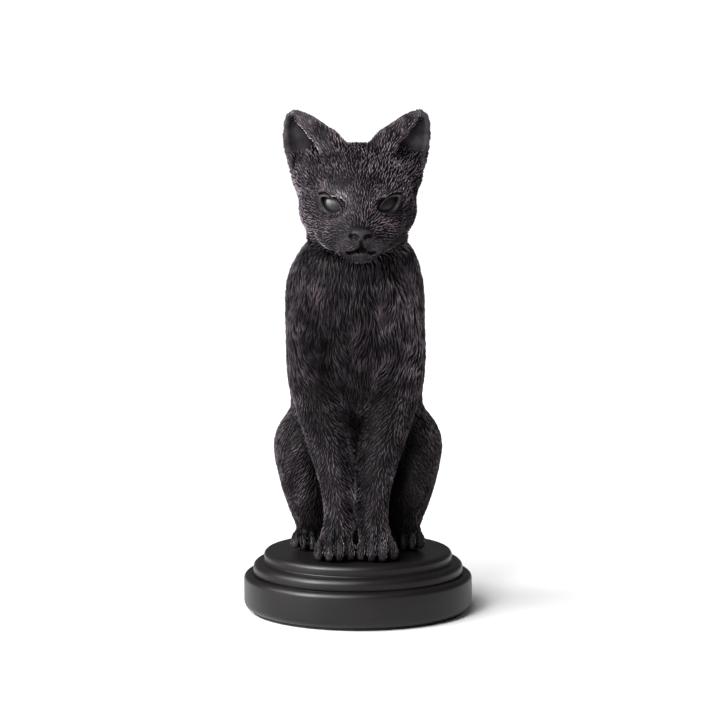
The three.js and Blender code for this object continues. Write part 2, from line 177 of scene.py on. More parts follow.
@dataclass
class Clay:
    """A solid kept as a block of signed distances, negative inside.

    Attributes:
        corner: Grid index of the block's first sample.
        step: Distance between samples.
        depth: The signed distances.
    """

    corner: np.ndarray
    step: float
    depth: np.ndarray

    @classmethod
    def cast(
        cls, nodes: Sequence[str], low: Sequence[float], high: Sequence[float], step: float
    ) -> "Clay":
        """Takes a cast of CAD nodes.

        Args:
            nodes: The nodes' names.
            low: Lowest corner of the block.
            high: Highest corner of the block.
            step: Distance between samples.

        Returns:
            The clay, with the nodes' solids joined.
        """
        corner = np.floor(np.array(low) / step).astype(int)
        shape = tuple(np.ceil(np.array(high) / step).astype(int) - corner)
        joined = None
        for name in nodes:
            mesh = CAD_NODES[name].data
            points = np.empty(len(mesh.vertices) * 3, np.float32)
            mesh.vertices.foreach_get("co", points)
            mesh.calc_loop_triangles()
            triangles = np.empty(len(mesh.loop_triangles) * 3, np.int32)
            mesh.loop_triangles.foreach_get("vertices", triangles)
            grid = vdb.FloatGrid.createLevelSetFromPolygons(
                leant(points.reshape(-1, 3) / MM).astype(np.float32),
                triangles=triangles.reshape(-1, 3).astype(np.uint32),
                transform=vdb.createLinearTransform(voxelSize=step),
                halfWidth=CAST_MARGIN,
            )
            block = np.empty(shape, np.float32)
            grid.copyToArray(block, ijk=tuple(int(i) for i in corner))
            joined = block if joined is None else np.minimum(joined, block)
        return cls(corner, step, joined)

    def axes(self) -> tuple[np.ndarray, np.ndarray, np.ndarray]:
        """The samples' x, y and z, shaped to broadcast over the block.

        Returns:
            The three arrays.
        """
        spans = [(self.corner[i] + np.arange(self.depth.shape[i])) * self.step for i in range(3)]
        x, y, z = (span.astype(np.float32) for span in spans)
        return x[:, None, None], y[None, :, None], z[None, None, :]

    def points(self) -> np.ndarray:
        """The samples' positions as an array of x, y and z."""
        return np.stack(np.broadcast_arrays(*self.axes()), axis=-1)

    def part(self, low: Sequence[float], high: Sequence[float]) -> "Clay":
        """A view of the block between two corners, which shares this clay's samples.

        Args:
            low: The lower corner.
            high: The upper corner.

        Returns:
            The part.
        """
        first = np.maximum(np.floor(np.array(low) / self.step).astype(int) - self.corner, 0)
        last = np.ceil(np.array(high) / self.step).astype(int) - self.corner
        ends = np.minimum(last, self.depth.shape)
        where = tuple(slice(int(a), int(b)) for a, b in zip(first, ends))
        return Clay(self.corner + first, self.step, self.depth[where])

    def add(self, shape: np.ndarray, ease: float) -> None:
        """Adds a shape of signed distances, with a fillet of about ease."""
        share = np.clip(0.5 + 0.5 * (shape - self.depth) / ease, 0, 1)
        self.depth[...] = shape + (self.depth - shape) * share - ease * share * (1 - share)

    def cut(self, shape: np.ndarray, ease: float) -> None:
        """Cuts a shape of signed distances away, with a rounded edge of about ease."""
        share = np.clip(0.5 - 0.5 * (-shape - self.depth) / ease, 0, 1)
        self.depth[...] = -shape + (self.depth + shape) * share + ease * share * (1 - share)

    def smooth(self, sigma: float, share: np.ndarray | float = 1.0) -> None:
        """Smooths the clay, which rounds its edges and fills its creases.

        Args:
            sigma: Width of the smoothing.
            share: How much of it each sample takes.
        """
        reach = int(math.ceil(2.5 * sigma / self.step))
        weights = np.exp(-0.5 * (np.arange(-reach, reach + 1) * self.step / sigma) ** 2)
        weights = (weights / weights.sum()).astype(np.float32)
        soft = self.depth
        for axis in range(3):
            margins = [(reach, reach) if i == axis else (0, 0) for i in range(3)]
            padded = np.pad(soft, margins, mode="edge")
            length = soft.shape[axis]
            soft = sum(w * padded.take(range(k, k + length), axis) for k, w in enumerate(weights))
        self.depth[...] = self.depth + (soft - self.depth) * share

    def softened(self, sigma: float) -> "Clay":
        """A smoothed copy.

        Args:
            sigma: Width of the smoothing.

        Returns:
            The copy.
        """
        copy = Clay(self.corner, self.step, self.depth.copy())
        copy.smooth(sigma)
        return copy

    def at(self, points: np.ndarray) -> np.ndarray:
        """The signed distance at each row, between the samples.

        Args:
            points: Rows of x, y and z in millimetres.

        Returns:
            The distances.
        """
        where = points / self.step - self.corner
        low = np.clip(np.floor(where).astype(int), 0, np.array(self.depth.shape) - 2)
        share = np.clip(where - low, 0, 1)
        total = np.zeros(len(points))
        for offset in np.ndindex(2, 2, 2):
            weight = np.where(np.array(offset), share, 1 - share).prod(axis=1)
            i, j, k = (low + offset).T
            total += weight * self.depth[i, j, k]
        return total

    def drape(self, points: np.ndarray, height: np.ndarray) -> np.ndarray:
        """Moves rows along the clay's slope until each is at its own height over the surface.

        Args:
            points: Rows of x, y and z in millimetres.
            height: The height of each row.

        Returns:
            The moved rows.
        """
        steps = np.eye(3) * self.step
        for _ in range(2):
            slope = np.stack([self.at(points + s) - self.at(points - s) for s in steps], axis=1)
            steep = np.maximum(np.linalg.norm(slope, axis=1) / (2 * self.step), 0.5)
            points = points - unit(slope) * ((self.at(points) - height) / steep)[:, None]
        return points

    def clear_plinth(self) -> None:
        """Cuts the clay off level with the plinth's top."""
        z = self.axes()[2]
        np.maximum(self.depth, (PLINTH_TOP - z).astype(np.float32), out=self.depth)

    def fill_hollow(self) -> None:
        """Fills the hollow that slip casting leaves, since nothing of it is seen."""
        x, y, z = self.axes()
        height, across, back, wide, deep = np.array(HOLLOW_FILLING, float).T
        centre_x, centre_y = np.interp(z, height, across), np.interp(z, height, back)
        half_x, half_y = np.interp(z, height, wide), np.interp(z, height, deep)
        ring = np.sqrt(((x - centre_x) / half_x) ** 2 + ((y - centre_y) / half_y) ** 2) - 1
        filling = np.maximum(ring * np.minimum(half_x, half_y), z - height[-1])
        np.minimum(self.depth, filling.astype(np.float32), out=self.depth)

    def mesh(self, name: str) -> bpy.types.Mesh:
        """The clay's surface as a mesh in metres.

        Args:
            name: The mesh's name.

        Returns:
            The mesh.
        """
        grid = vdb.FloatGrid(float(self.depth.max()))
        grid.copyFromArray(np.ascontiguousarray(self.depth), ijk=tuple(int(i) for i in self.corner))
        grid.transform = vdb.createLinearTransform(voxelSize=self.step)
        points, quads = grid.convertToQuads(isovalue=0.0)
        mesh = bpy.data.meshes.new(name)
        mesh.from_pydata((points * MM).tolist(), [], quads.tolist())
        mesh.update()
        return largest_lump(mesh)


# Height, x, y, half width and half depth of what fills the hollow casting.
HOLLOW_FILLING = [
    (20, 0, 11, 12, 12),
    (36, 0, 11, 17, 15),
    (50.5, 0, 11, 22, 16.5),
    (67.5, 0, 11, 23, 19),
    (89.5, 0, 7, 21.5, 19),
    (111.5, 0, 3, 22, 18),
    (132.5, 0, 0, 22, 17),
    (151.5, -0.5, -0.5, 20, 14),
    (167.5, -1.2, -0.5, 16, 12.5),
    (179.5, -1.6, -1, 17, 16),
    (191.5, -1.6, -1, 18, 17),
    (200, -1.6, -1, 14.5, 13.5),
    (207, -1.6, -1, 3, 3),
]


# The ear's rolls and ridges at +X, in the head's frame: place and radius of each station.
EAR_FORMS = [
    [((7, -8, 13), 5.5), ((13, -3.0, 21), 4.4), ((20, -1.2, 28), 2.8), ((27, 0.8, 33.4), 1.3)],
    [
        ((6, -5, 18), 4.4),
        ((13, -2.4, 25.4), 3.4),
        ((21, -0.6, 31.6), 2.2),
        ((28.4, 1.2, 35.6), 1.2),
    ],
    [((25.5, 3.6, -1), 1.6), ((28, 3.7, 6), 1.3), ((30.1, 3.4, 14), 1.1), ((32.1, 2.9, 25), 1.0)],
    [
        ((32.1, 2.9, 25), 1.0),
        ((32.3, 2.3, 31), 1.0),
        ((31.2, 2.0, 34.4), 1.1),
        ((28.9, 1.4, 36.2), 1.1),
    ],
]


def largest_lump(mesh: bpy.types.Mesh) -> bpy.types.Mesh:
    """Removes every loose lump of a mesh but the one with the most faces.

    Args:
        mesh: The mesh, which is changed.

    Returns:
        The same mesh.
    """
    work = bmesh.new()
    work.from_mesh(mesh)
    unseen = set(work.verts)
    lumps = []
    while unseen:
        stack = [unseen.pop()]
        lump = set(stack)
        while stack:
            for edge in stack.pop().link_edges:
                for vertex in edge.verts:
                    if vertex in unseen:
                        unseen.discard(vertex)
                        lump.add(vertex)
                        stack.append(vertex)
        lumps.append(lump)
    keep = max(lumps, key=len)
    bmesh.ops.delete(work, geom=[v for v in work.verts if v not in keep], context="VERTS")
    work.to_mesh(mesh)
    work.free()
    return mesh


def to_object(mesh: bpy.types.Mesh, name: str) -> bpy.types.Object:
    """A mesh as an object of the scene, shaded smooth.

    Args:
        mesh: The mesh, which takes the name too.
        name: The object's name.

    Returns:
        The object.
    """
    mesh.name = name
    made = bpy.data.objects.new(name, mesh)
    bpy.context.scene.collection.objects.link(made)
    mesh.shade_smooth()
    return made


def closed_mesh(
    name: str, points: Sequence[Sequence[float]], faces: Sequence[Sequence[int]]
) -> bpy.types.Mesh:
    """A closed mesh from points in millimetres, with its faces turned to point outwards.

    Args:
        name: The mesh's name.
        points: Its points.
        faces: The numbers of each face's points.

    Returns:
        The mesh, in metres.
    """
    mesh = bpy.data.meshes.new(name)
    mesh.from_pydata((np.array(points, float) * MM).tolist(), [], faces)
    work = bmesh.new()
    work.from_mesh(mesh)
    bmesh.ops.recalc_face_normals(work, faces=work.faces)
    work.to_mesh(mesh)
    work.free()
    return mesh


def spindle_faces(around: int, rings: int) -> list[tuple[int, ...]]:
    """The faces of a closed spindle, whose points are a pole, then its rings, then another pole.

    Args:
        around: Number of points in each ring.
        rings: Number of rings.

    Returns:
        The numbers of each face's points.
    """
    faces = []
    last = 1 + (rings - 1) * around
    for k in range(around):
        after = (k + 1) % around
        faces.append((0, 1 + after, 1 + k))
        for low in range(1, last, around):
            high = low + around
            faces.append((low + k, low + after, high + after, high + k))
        faces.append((last + k, last + after, last + around))
    return faces


def vertex_rows(mesh: bpy.types.Mesh) -> tuple[np.ndarray, np.ndarray]:
    """The vertices' positions in millimetres and their normals, as rows.

    Args:
        mesh: A mesh in metres.

    Returns:
        The positions and the normals.
    """
    points = np.empty(len(mesh.vertices) * 3)
    normals = np.empty(len(mesh.vertices) * 3, np.float32)
    mesh.vertices.foreach_get("co", points)
    mesh.vertex_normals.foreach_get("vector", normals)
    return points.reshape(-1, 3) / MM, normals.reshape(-1, 3).astype(float)


def store(mesh: bpy.types.Mesh, name: str, values: np.ndarray) -> None:
    """Stores a number or a vector for every vertex of a mesh.

    Args:
        mesh: The mesh.
        name: What they are stored as.
        values: A row or a number for each vertex.
    """
    kind, key = ("FLOAT", "value") if values.ndim == 1 else ("FLOAT_VECTOR", "vector")
    attribute = mesh.attributes.get(name) or mesh.attributes.new(name, kind, "POINT")
    attribute.data.foreach_set(key, values.astype(np.float32).ravel())


def take(mesh: bpy.types.Mesh, name: str) -> np.ndarray:
    """A number stored for every vertex of a mesh.

    Args:
        mesh: The mesh.
        name: What they are stored as.

    Returns:
        The numbers.
    """
    values = np.empty(len(mesh.vertices), np.float32)
    mesh.attributes[name].data.foreach_get("value", values)
    return values.astype(float)


def forget(mesh: bpy.types.Mesh, *names: str) -> None:
    """Removes what was stored for a mesh under some names."""
    for name in names:
        mesh.attributes.remove(mesh.attributes[name])


def settle(
    piece: bpy.types.Object, finish: bpy.types.Material | None, slot: Slot, node: str | None = None
) -> None:
    """Makes a finished mesh a piece of the figurine, which is one rigid body.

    Args:
        piece: The mesh object.
        finish: Its material, unless its mesh has one.
        slot: Its material slot; not used.
        node: The CAD node that it stands for, if any.
    """
    if finish:
        piece.data.materials.append(finish)
    if node:
        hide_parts(node)
    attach(piece, "root")
    log.info("%s: %d faces", piece.name, len(piece.data.polygons))


# ---------------------------------------------------------------------------- shapes to cut with


FAR = 9.0  # millimetres, past the reach of every cut and every rounding


def to_segment(
    points: np.ndarray,
    start: Sequence[float],
    end: Sequence[float],
    radii: tuple[float, float] = (0.0, 0.0),
) -> np.ndarray:
    """Signed distance of each row to a straight rod that tapers between two radii.

    Args:
        points: Rows of as many coordinates as the rod's ends have.
        start: One end of the rod's axis.
        end: The other end.
        radii: The rod's radius at start and at end.

    Returns:
        The distances.
    """
    a, b = np.array(start, np.float32), np.array(end, np.float32)
    along = np.clip(((points - a) @ (b - a)) / ((b - a) @ (b - a)), 0, 1)
    away = np.linalg.norm(points - a - along[..., None] * (b - a), axis=-1)
    return away - radii[0] - (radii[1] - radii[0]) * along


def to_path(points: np.ndarray, path: Sequence[Sequence[float]]) -> np.ndarray:
    """Distance of each row to a chain of straight segments."""
    return np.minimum.reduce([to_segment(points, a, b) for a, b in zip(path, path[1:])])


def ellipsoid(points: np.ndarray, centre: Sequence[float], half: Sequence[float]) -> np.ndarray:
    """About the signed distance of each row to an ellipsoid."""
    scaled = (points - np.array(centre, np.float32)) / np.array(half, np.float32)
    return (np.linalg.norm(scaled, axis=-1) - 1) * min(half)


# ---------------------------------------------------------------------------- eyes


@dataclass
class Eye:
    """A smooth cabochon set in its socket, with lids that open in an almond.

    Attributes:
        side: 1 for the cat's own left, at +X, and -1 for its right.
        width: Full width of the cabochon.
        height: Full height of the cabochon.
        dome: Rise of the dome over the girdle.
        girdle: Straight rise from the flat back to the dome.
        slit: Length of the almond between the lids, and its rise over and under its long axis.
        cant: How much steeper the almond slants than the cabochon.
        play: How much larger than the dome the ball under the lids is.
        lid: Thickness of the lids.
        crease: The groove over the upper lid: how far it runs outside the almond, how deep its
            axis lies under the skin, and its radius.
        rim: The roll round the almond: how far outside it, how high over the skin, its radius.
        floor: How deep under the ball the opening is cut.
    """

    side: int
    width: float = 13.0
    height: float = 10.0
    dome: float = 2.9
    girdle: float = 2.5
    slit: tuple[float, float, float] = (10.4, 2.0, 3.0)
    cant: float = math.radians(6)
    play: float = 0.25
    lid: float = 0.7
    crease: tuple[float, float, float] = (1.7, 0.15, 0.45)
    rim: tuple[float, float, float] = (0.6, 0.08, 0.42)
    floor: float = 0.35

    @property
    def name(self) -> str:
        """The CAD node that the cabochon stands for."""
        return "eye_left" if self.side > 0 else "eye_right"

    def local(self, head_points: np.ndarray) -> np.ndarray:
        """Rows of the head's frame as outwards, up and forwards of the cabochon's back.

        Args:
            head_points: Rows in the head's own frame.

        Returns:
            Rows on the eye's own axes.
        """
        rows = head_points * np.array([self.side, 1, 1]) - EYE_CENTRE
        about_y, about_x, about_z = EYE_TURNS
        rows = turned(turned(turned(rows, -about_z, 2), -about_x, 0), -about_y, 1)
        return np.stack([rows[..., 0], rows[..., 2], -rows[..., 1]], axis=-1)

    def placed(self, rows: np.ndarray) -> np.ndarray:
        """Rows of outwards, up and forwards in the figurine's frame, the inverse of local.

        Args:
            rows: Rows on the eye's own axes.

        Returns:
            Rows of x, y and z in millimetres.
        """
        about_y, about_x, about_z = EYE_TURNS
        out = np.stack([rows[..., 0], -rows[..., 2], rows[..., 1]], axis=-1)
        out = turned(turned(turned(out, about_y, 1), about_x, 0), about_z, 2) + EYE_CENTRE
        return world_from_head(out * np.array([self.side, 1, 1]))

    def ball(self, rows: np.ndarray) -> np.ndarray:
        """Signed distance to the ball that the dome is part of.

        Args:
            rows: Rows on the eye's own axes.

        Returns:
            The distances.
        """
        rise = self.dome + self.play
        half = (self.width / 2 + self.play, self.height / 2 + self.play, rise)
        return ellipsoid(rows, (0, 0, self.girdle + self.dome - rise), half)

    def almond(self, rows: np.ndarray) -> np.ndarray:
        """Signed distance across the face to the outline of the almond slit.

        Args:
            rows: Rows on the eye's own axes.

        Returns:
            The distances, negative inside the slit.
        """
        half = self.slit[0] / 2
        cos, sin = math.cos(self.cant), math.sin(self.cant)
        along = rows[..., 0] * cos + rows[..., 1] * sin + 0.6
        over = rows[..., 1] * cos - rows[..., 0] * sin
        rise = np.where(over > 0, self.slit[1], self.slit[2])
        radius = (half * half + rise * rise) / (2 * rise)
        return np.hypot(along, np.abs(over) + radius - rise) - radius

    def sculpt(self, clay: Clay) -> None:
        """Closes the casting's socket, then lays the lids over the eye and opens them.

        Args:
            clay: The head's clay.
        """
        around = self.placed(np.array([[0.0, 0.0, 3.0]]))[0]
        block = clay.part(around - 15, around + 15)
        rows = self.local(head_from_world(block.points())).astype(np.float32)
        ball, almond, forwards = self.ball(rows), self.almond(rows), rows[..., 2]
        block.add(ellipsoid(rows, (0, 0, -1.5), (9.5, 8.0, 6.0)), 2.0)
        brow = to_path(
            rows, [(-8.5, 3.6, 3.4), (-1, 5.4, 3.6), (6.5, 5.2, 1.6), (10, 3.5, -1.5)]
        )
        block.add(brow - 1.9, 2.6)
        block.add(ball - self.lid, 1.6)
        skin = block.depth.copy()
        upper = smooth_step(rows[..., 1] - rows[..., 0] * math.tan(self.cant), -0.6, 0.4)
        outside, sunk, radius = self.crease
        crease = np.sqrt((almond - outside) ** 2 + (skin + sunk) ** 2) - radius
        block.cut(np.where(forwards > 0, crease + 2 * (1 - upper), FAR), 0.3)
        outside, raised, radius = self.rim
        rim = np.sqrt((almond - outside) ** 2 + (skin - raised) ** 2) - radius
        block.add(np.where(forwards > 0, rim, FAR), 0.3)
        opening = np.maximum(almond, -(ball + self.floor))
        block.cut(np.maximum(opening, 1.0 - forwards), 0.2)

    def build(self) -> None:
        """Makes the cabochon with a round dome."""
        steps, around = 14, 48
        outline = [(1.0, 0.0)]
        for angle in (math.pi / 2 * i / steps for i in range(steps)):
            outline.append((math.cos(angle), self.girdle + self.dome * math.sin(angle)))
        points = [[0.0, 0.0, 0.0]]
        for radius, height in outline:
            for angle in (2 * math.pi * k / around for k in range(around)):
                across, up = radius * math.cos(angle), radius * math.sin(angle)
                points.append([across * self.width / 2, up * self.height / 2, height])
        points.append([0.0, 0.0, self.girdle + self.dome])
        rows = self.placed(np.array(points))
        mesh = closed_mesh(self.name, rows, spindle_faces(around, len(outline)))
        piece = to_object(mesh, f"{self.name}_cabochon")
        settle(piece, EyeGlaze().material(), Slot.EYE, self.name)


# ---------------------------------------------------------------------------- the coat


@dataclass(frozen=True)
class Coat:
    """How the fur grows, worked out from a point's place and normal."""

    nose: tuple[float, float, float] = (0.0, -36.5, -15.0)

    def head_share(self, points: np.ndarray) -> np.ndarray:
        """1 on the head, 0 on the body, easing over the ruff."""
        return smooth_step(above_neck_joint(points), -4.0, 8.0)

    def growth(self, points: np.ndarray, normals: np.ndarray) -> np.ndarray:
        """The direction that the fur lies in at each point.

        Args:
            points: Rows in millimetres.
            normals: The skin's normals there.

        Returns:
            Rows of unit vectors along the skin.
        """
        share = self.head_share(points)[:, None]
        wish = unit(self.over_head(points)) * share + unit(self.over_body(points)) * (1 - share)
        lying = wish - (wish * normals).sum(1, keepdims=True) * normals
        flat = unit(lying)
        swirl = self.swirl(points) * (1 - 0.7 * share[:, 0])
        side = np.cross(normals, flat)
        return unit(flat * np.cos(swirl)[:, None] + side * np.sin(swirl)[:, None])

    def swirl(self, points: np.ndarray) -> np.ndarray:
        """A slow wander of the coat's direction, in radians, strongest on the chest.

        Args:
            points: Rows of x, y and z in millimetres.

        Returns:
            An angle for each row.
        """
        x, y, z = points.T
        wave = np.sin(0.31 * x + 0.17 * z + 1.1) + np.sin(0.23 * z - 0.36 * x + 0.4 * y)
        wave = wave + np.sin(0.42 * x + 0.3 * y)
        chest = smooth_step(z, 92, 112) * smooth_step(-y, -4, 8)
        return wave * (0.07 + 0.13 * chest)

    def over_head(self, points: np.ndarray) -> np.ndarray:
        """Away from the nose, then down the nape.

        Args:
            points: Rows of x, y and z in millimetres.

        Returns:
            A direction for each row, not yet laid on the skin.
        """
        rows = head_from_world(points)
        away = unit(rows - np.array(self.nose))
        down = np.array([0.0, 0.5, -1.0])
        behind = smooth_step(rows[:, 1], 2, 16) * smooth_step(rows[:, 2], 30, 16)
        lying = away * (1 - behind)[:, None] + unit(down) * behind[:, None]
        return turned(lying, HEAD_TURN, 2)

    def over_body(self, points: np.ndarray) -> np.ndarray:
        """Down the torso and legs, fanning off the front of each leg, and forward over the paws.

        Args:
            points: Rows of x, y and z in millimetres.

        Returns:
            A direction for each row, not yet laid on the skin.
        """
        x, y, z = points.T
        side = np.where(x < 0, -1.0, 1.0)
        down = np.stack([-0.006 * x, np.full_like(x, 0.22), np.full_like(x, -1.0)], axis=1)
        front = smooth_step(-y, 2, 10)
        gather = front * smooth_step(z, 132, 112) * smooth_step(z, 78, 92)
        down[:, 0] -= np.clip(0.035 * (x + 0.8), -0.55, 0.55) * gather
        leg_x = side * np.interp(z, [28, 45, 58, 72, 90, 108], [10, 9, 10.5, 12.5, 16, 18])
        off = np.clip((x - leg_x) / 6, -1, 1)
        leg = front * smooth_step(z, 38, 50) * smooth_step(z, 108, 88)
        down[:, 0] += 0.75 * off * leg
        down[:, 1] += 0.25 * leg
        haunch = smooth_step(np.abs(x), 18, 26) * smooth_step(z, 98, 88)
        down[:, 1] += 0.25 * haunch
        paw = smooth_step(z, 42, 34)
        down[:, 1] -= 1.3 * paw
        return down


@dataclass(frozen=True)
class Pelt:
    """One stretch of the coat whose locks are alike.

    Attributes:
        name: Name of the piece.
        spacing: Least distance between locks.
        length: Length of a lock.
        width: Width of a lock.
        lift: Height of a lock's crest over the skin.
        region: Share of the pelt at each point, from its place and normal.
        seed: Seed of the scatter.
    """

    name: str
    spacing: float
    length: float
    width: float
    lift: float
    region: Callable[[np.ndarray, np.ndarray], np.ndarray]
    seed: int


class Bend(Enum):
    """How a lock bends along its length."""

    LEFT = (-0.16, 0.0)
    RIGHT = (0.16, 0.0)
    WAVE_LEFT = (0.0, -0.09)
    WAVE_RIGHT = (0.0, 0.09)


SHOULDER = 0.8  # share of a lock's length past which it thins to its point

# Share of a lock's length, width and crest's height at each of its rings.
LOCK_STATIONS = [
    (0.02, 0.30, -0.05),
    (0.22, 0.78, 0.62),
    (0.48, 1.0, 0.95),
    (0.74, 0.74, 0.80),
    (0.92, 0.34, 0.52),
]


@dataclass(frozen=True)
class Lock:
    """A tapered lock of fur, one millimetre long, wide and high, to be scaled where it lies."""

    bend: Bend

    def build(self) -> bpy.types.Object:
        """Makes the lock, rooted under the skin and rising to a crest that thins to a point.

        Returns:
            The lock as an unlinked object with its crest and UVs stored.
        """
        bow, wave = self.bend.value
        points, crests, uvs = [(0.0, -0.1, -0.5)], [0.0], [(0.5, 0.0)]
        for along, width, crest in LOCK_STATIONS:
            centre = bow * math.sin(math.pi * along) + wave * math.sin(2 * math.pi * along)
            edge, keel = (-0.22, -0.6) if along < SHOULDER else (-0.05, -0.2)
            points += [
                (centre + width / 2, along, edge),
                (centre, along, crest),
                (centre - width / 2, along, edge),
                (centre, along, keel),
            ]
            # Crests are paler as burnish; the low values at a lock's edges and keel are painted
            # shade in the grooves between locks.
            crests += [0.12, max(crest, 0.0), 0.12, 0.0]
            uvs += [(1.0, along), (0.5, along), (0.0, along), (0.5, along)]
        tip = len(points)
        points.append((bow * 0.05, 1.0, 0.2))
        crests.append(0.35)
        uvs.append((0.5, 1.0))
        faces = spindle_faces(4, len(LOCK_STATIONS))
        mesh = closed_mesh(f"lock_{self.bend.name.lower()}", points, faces)
        mesh.shade_smooth()
        ridge = {0, tip, *range(2, tip, 4)}
        sharp = mesh.attributes.new("sharp_edge", "BOOLEAN", "EDGE")
        for edge in mesh.edges:
            sharp.data[edge.index].value = set(edge.vertices) <= ridge
        store(mesh, "crest", np.array(crests))
        store(mesh, "height", np.array(points)[:, 2])
        layer = mesh.uv_layers.new(name="LockUV")
        for loop in mesh.loops:
            layer.data[loop.index].uv = uvs[loop.vertex_index]
        return bpy.data.objects.new(mesh.name, mesh)


class Nodes:
    """A node tree with short ways to add, set and link nodes."""

    def __init__(self, tree: bpy.types.NodeTree) -> None:
        """Takes the tree to work on."""
        self.tree = tree

    def give(self, target: bpy.types.NodeSocket, value: object) -> None:
        """Links another socket to an input, or sets the input to a plain value.

        Args:
            target: The input.
            value: A socket or a plain value.
        """
        if isinstance(value, bpy.types.NodeSocket):
            self.tree.links.new(value, target)
        else:
            target.default_value = value

    def add(
        self, kind: str, inputs: dict[str | int, object] | None = None, **settings: object
    ) -> bpy.types.Node:
        """Adds a node.

        Args:
            kind: The node's type.
            inputs: A socket or a plain value for each input, by its name or number.
            settings: The node's properties.

        Returns:
            The node.
        """
        made = self.tree.nodes.new(kind)
        for key, value in settings.items():
            setattr(made, key, value)
        for key, value in (inputs or {}).items():
            self.give(made.inputs[key], value)
        return made

    def maths(self, operation: str, *values: object) -> bpy.types.NodeSocket:
        """A maths node of some values, each a socket or a number."""
        made = self.add("ShaderNodeMath", dict(enumerate(values)), operation=operation)
        return made.outputs[0]

    def interface(self, way: str, kinds: dict[str, str]) -> dict[str, str]:
        """Adds named sockets to the tree's own inputs or outputs.

        Args:
            way: INPUT or OUTPUT.
            kinds: Kind of socket by name, without its NodeSocket prefix.

        Returns:
            The sockets' identifiers by name.
        """
        new = self.tree.interface.new_socket
        return {
            name: new(name, in_out=way, socket_type=f"NodeSocket{kind}").identifier
            for name, kind in kinds.items()
        }


class FurTree(Nodes):
    """The geometry node tree that lays locks over a skin along its growth attribute.

    Attributes:
        crowding: Points tried in each square of the spacing.
        vary: For each size, how far a lock strays from it and the salt of that draw.
    """

    crowding: float = 1.6
    vary: dict[str, tuple[float, int]] = {
        "Width": (0.25, 21),
        "Length": (0.3, 22),
        "Lift": (0.3, 23),
    }

    def __init__(self, locks: Sequence[bpy.types.Object], material: bpy.types.Material) -> None:
        """Builds the tree.

        Args:
            locks: The locks to pick from.
            material: The finish of the laid locks.
        """
        super().__init__(bpy.data.node_groups.new("lay_locks", "GeometryNodeTree"))
        sizes = {name: "Float" for name in ("Spacing", "Length", "Width", "Lift")}
        self.sockets = self.interface("INPUT", {"Skin": "Geometry", **sizes, "Seed": "Int"})
        self.interface("OUTPUT", {"Fur": "Geometry"})
        self.wire(locks, material)

    def named(self, name: str, kind: str = "FLOAT") -> bpy.types.NodeSocket:
        """Reads an attribute of the skin."""
        made = self.add("GeometryNodeInputNamedAttribute", {"Name": name}, data_type=kind)
        return made.outputs["Attribute"]

    def random(
        self, low: float, high: float, seed: bpy.types.NodeSocket, salt: int, kind: str = "FLOAT"
    ) -> bpy.types.NodeSocket:
        """A random number for each lock.

        Args:
            low: Least value.
            high: Greatest value.
            seed: The pelt's seed.
            salt: What is added to the seed, so that each use draws its own numbers.
            kind: FLOAT or INT.

        Returns:
            The numbers.
        """
        made = self.add("FunctionNodeRandomValue", data_type=kind)
        ends = [s for s in made.inputs if s.enabled and s.name in ("Min", "Max")]
        ends[0].default_value, ends[1].default_value = low, high
        self.give(made.inputs["Seed"], self.maths("ADD", seed, salt))
        return next(s for s in made.outputs if s.enabled)

    def wire(self, locks: Sequence[bpy.types.Object], material: bpy.types.Material) -> None:
        """Wires the tree from its inputs to the finished fur.

        Args:
            locks: The locks to pick from.
            material: The finish of the laid locks.
        """
        ports = self.add("NodeGroupInput").outputs
        seed = ports["Seed"]
        gap = self.maths("MULTIPLY", ports["Spacing"], MM)
        per_area = self.maths("POWER", gap, -2.0)
        scatter = self.add(
            "GeometryNodeDistributePointsOnFaces",
            {
                "Mesh": ports["Skin"],
                "Distance Min": gap,
                "Density Max": self.maths("MULTIPLY", per_area, self.crowding),
                "Density Factor": self.named("cover"),
                "Seed": seed,
            },
            distribute_method="POISSON",
        )
        grow = self.named("grow")
        sizes = {}
        for name, (spread, salt) in self.vary.items():
            varied = self.random(1 - spread, 1 + spread, seed, salt)
            sizes[name] = self.maths("MULTIPLY", grow, self.maths("MULTIPLY", ports[name], varied))
        raised = self.add(
            "GeometryNodeStoreNamedAttribute",
            {"Name": "raise", "Geometry": scatter.outputs["Points"], "Value": sizes["Lift"]},
            data_type="FLOAT",
            domain="POINT",
        )
        scale = {"X": sizes["Width"], "Y": sizes["Length"], "Z": self.named("raise")}
        place = self.add(
            "GeometryNodeInstanceOnPoints",
            {
                "Points": raised.outputs["Geometry"],
                "Instance": self.choice_of(locks),
                "Pick Instance": True,
                "Instance Index": self.random(0, len(locks) - 1, seed, 31, "INT"),
                "Rotation": self.lying(scatter.outputs["Normal"], seed),
                "Scale": self.add("ShaderNodeCombineXYZ", scale).outputs[0],
            },
        )
        whole = self.add("GeometryNodeRealizeInstances", {"Geometry": place.outputs["Instances"]})
        dressed = self.add(
            "GeometryNodeSetMaterial", {"Geometry": whole.outputs["Geometry"], "Material": material}
        )
        self.add("NodeGroupOutput", {"Fur": dressed.outputs["Geometry"]})

    def lying(
        self, normal: bpy.types.NodeSocket, seed: bpy.types.NodeSocket
    ) -> bpy.types.NodeSocket:
        """The turn that lays a lock along its growth, strayed a little.

        Args:
            normal: The skin's normal at each lock.
            seed: The pelt's seed.

        Returns:
            The turns.
        """
        along = self.add(
            "FunctionNodeAlignRotationToVector",
            {"Vector": self.named("growth", "FLOAT_VECTOR")},
            axis="Y",
        )
        upright = self.add(
            "FunctionNodeAlignRotationToVector",
            {"Rotation": along.outputs[0], "Vector": normal},
            axis="Z",
            pivot_axis="Y",
        )
        stray = {"Z": self.random(-0.16, 0.16, seed, 11), "X": self.random(-0.05, 0.04, seed, 12)}
        turn = self.add("ShaderNodeCombineXYZ", stray)
        strayed = self.add(
            "FunctionNodeRotateRotation",
            {"Rotation": upright.outputs[0], "Rotate By": turn.outputs[0]},
            rotation_space="LOCAL",
        )
        return strayed.outputs[0]

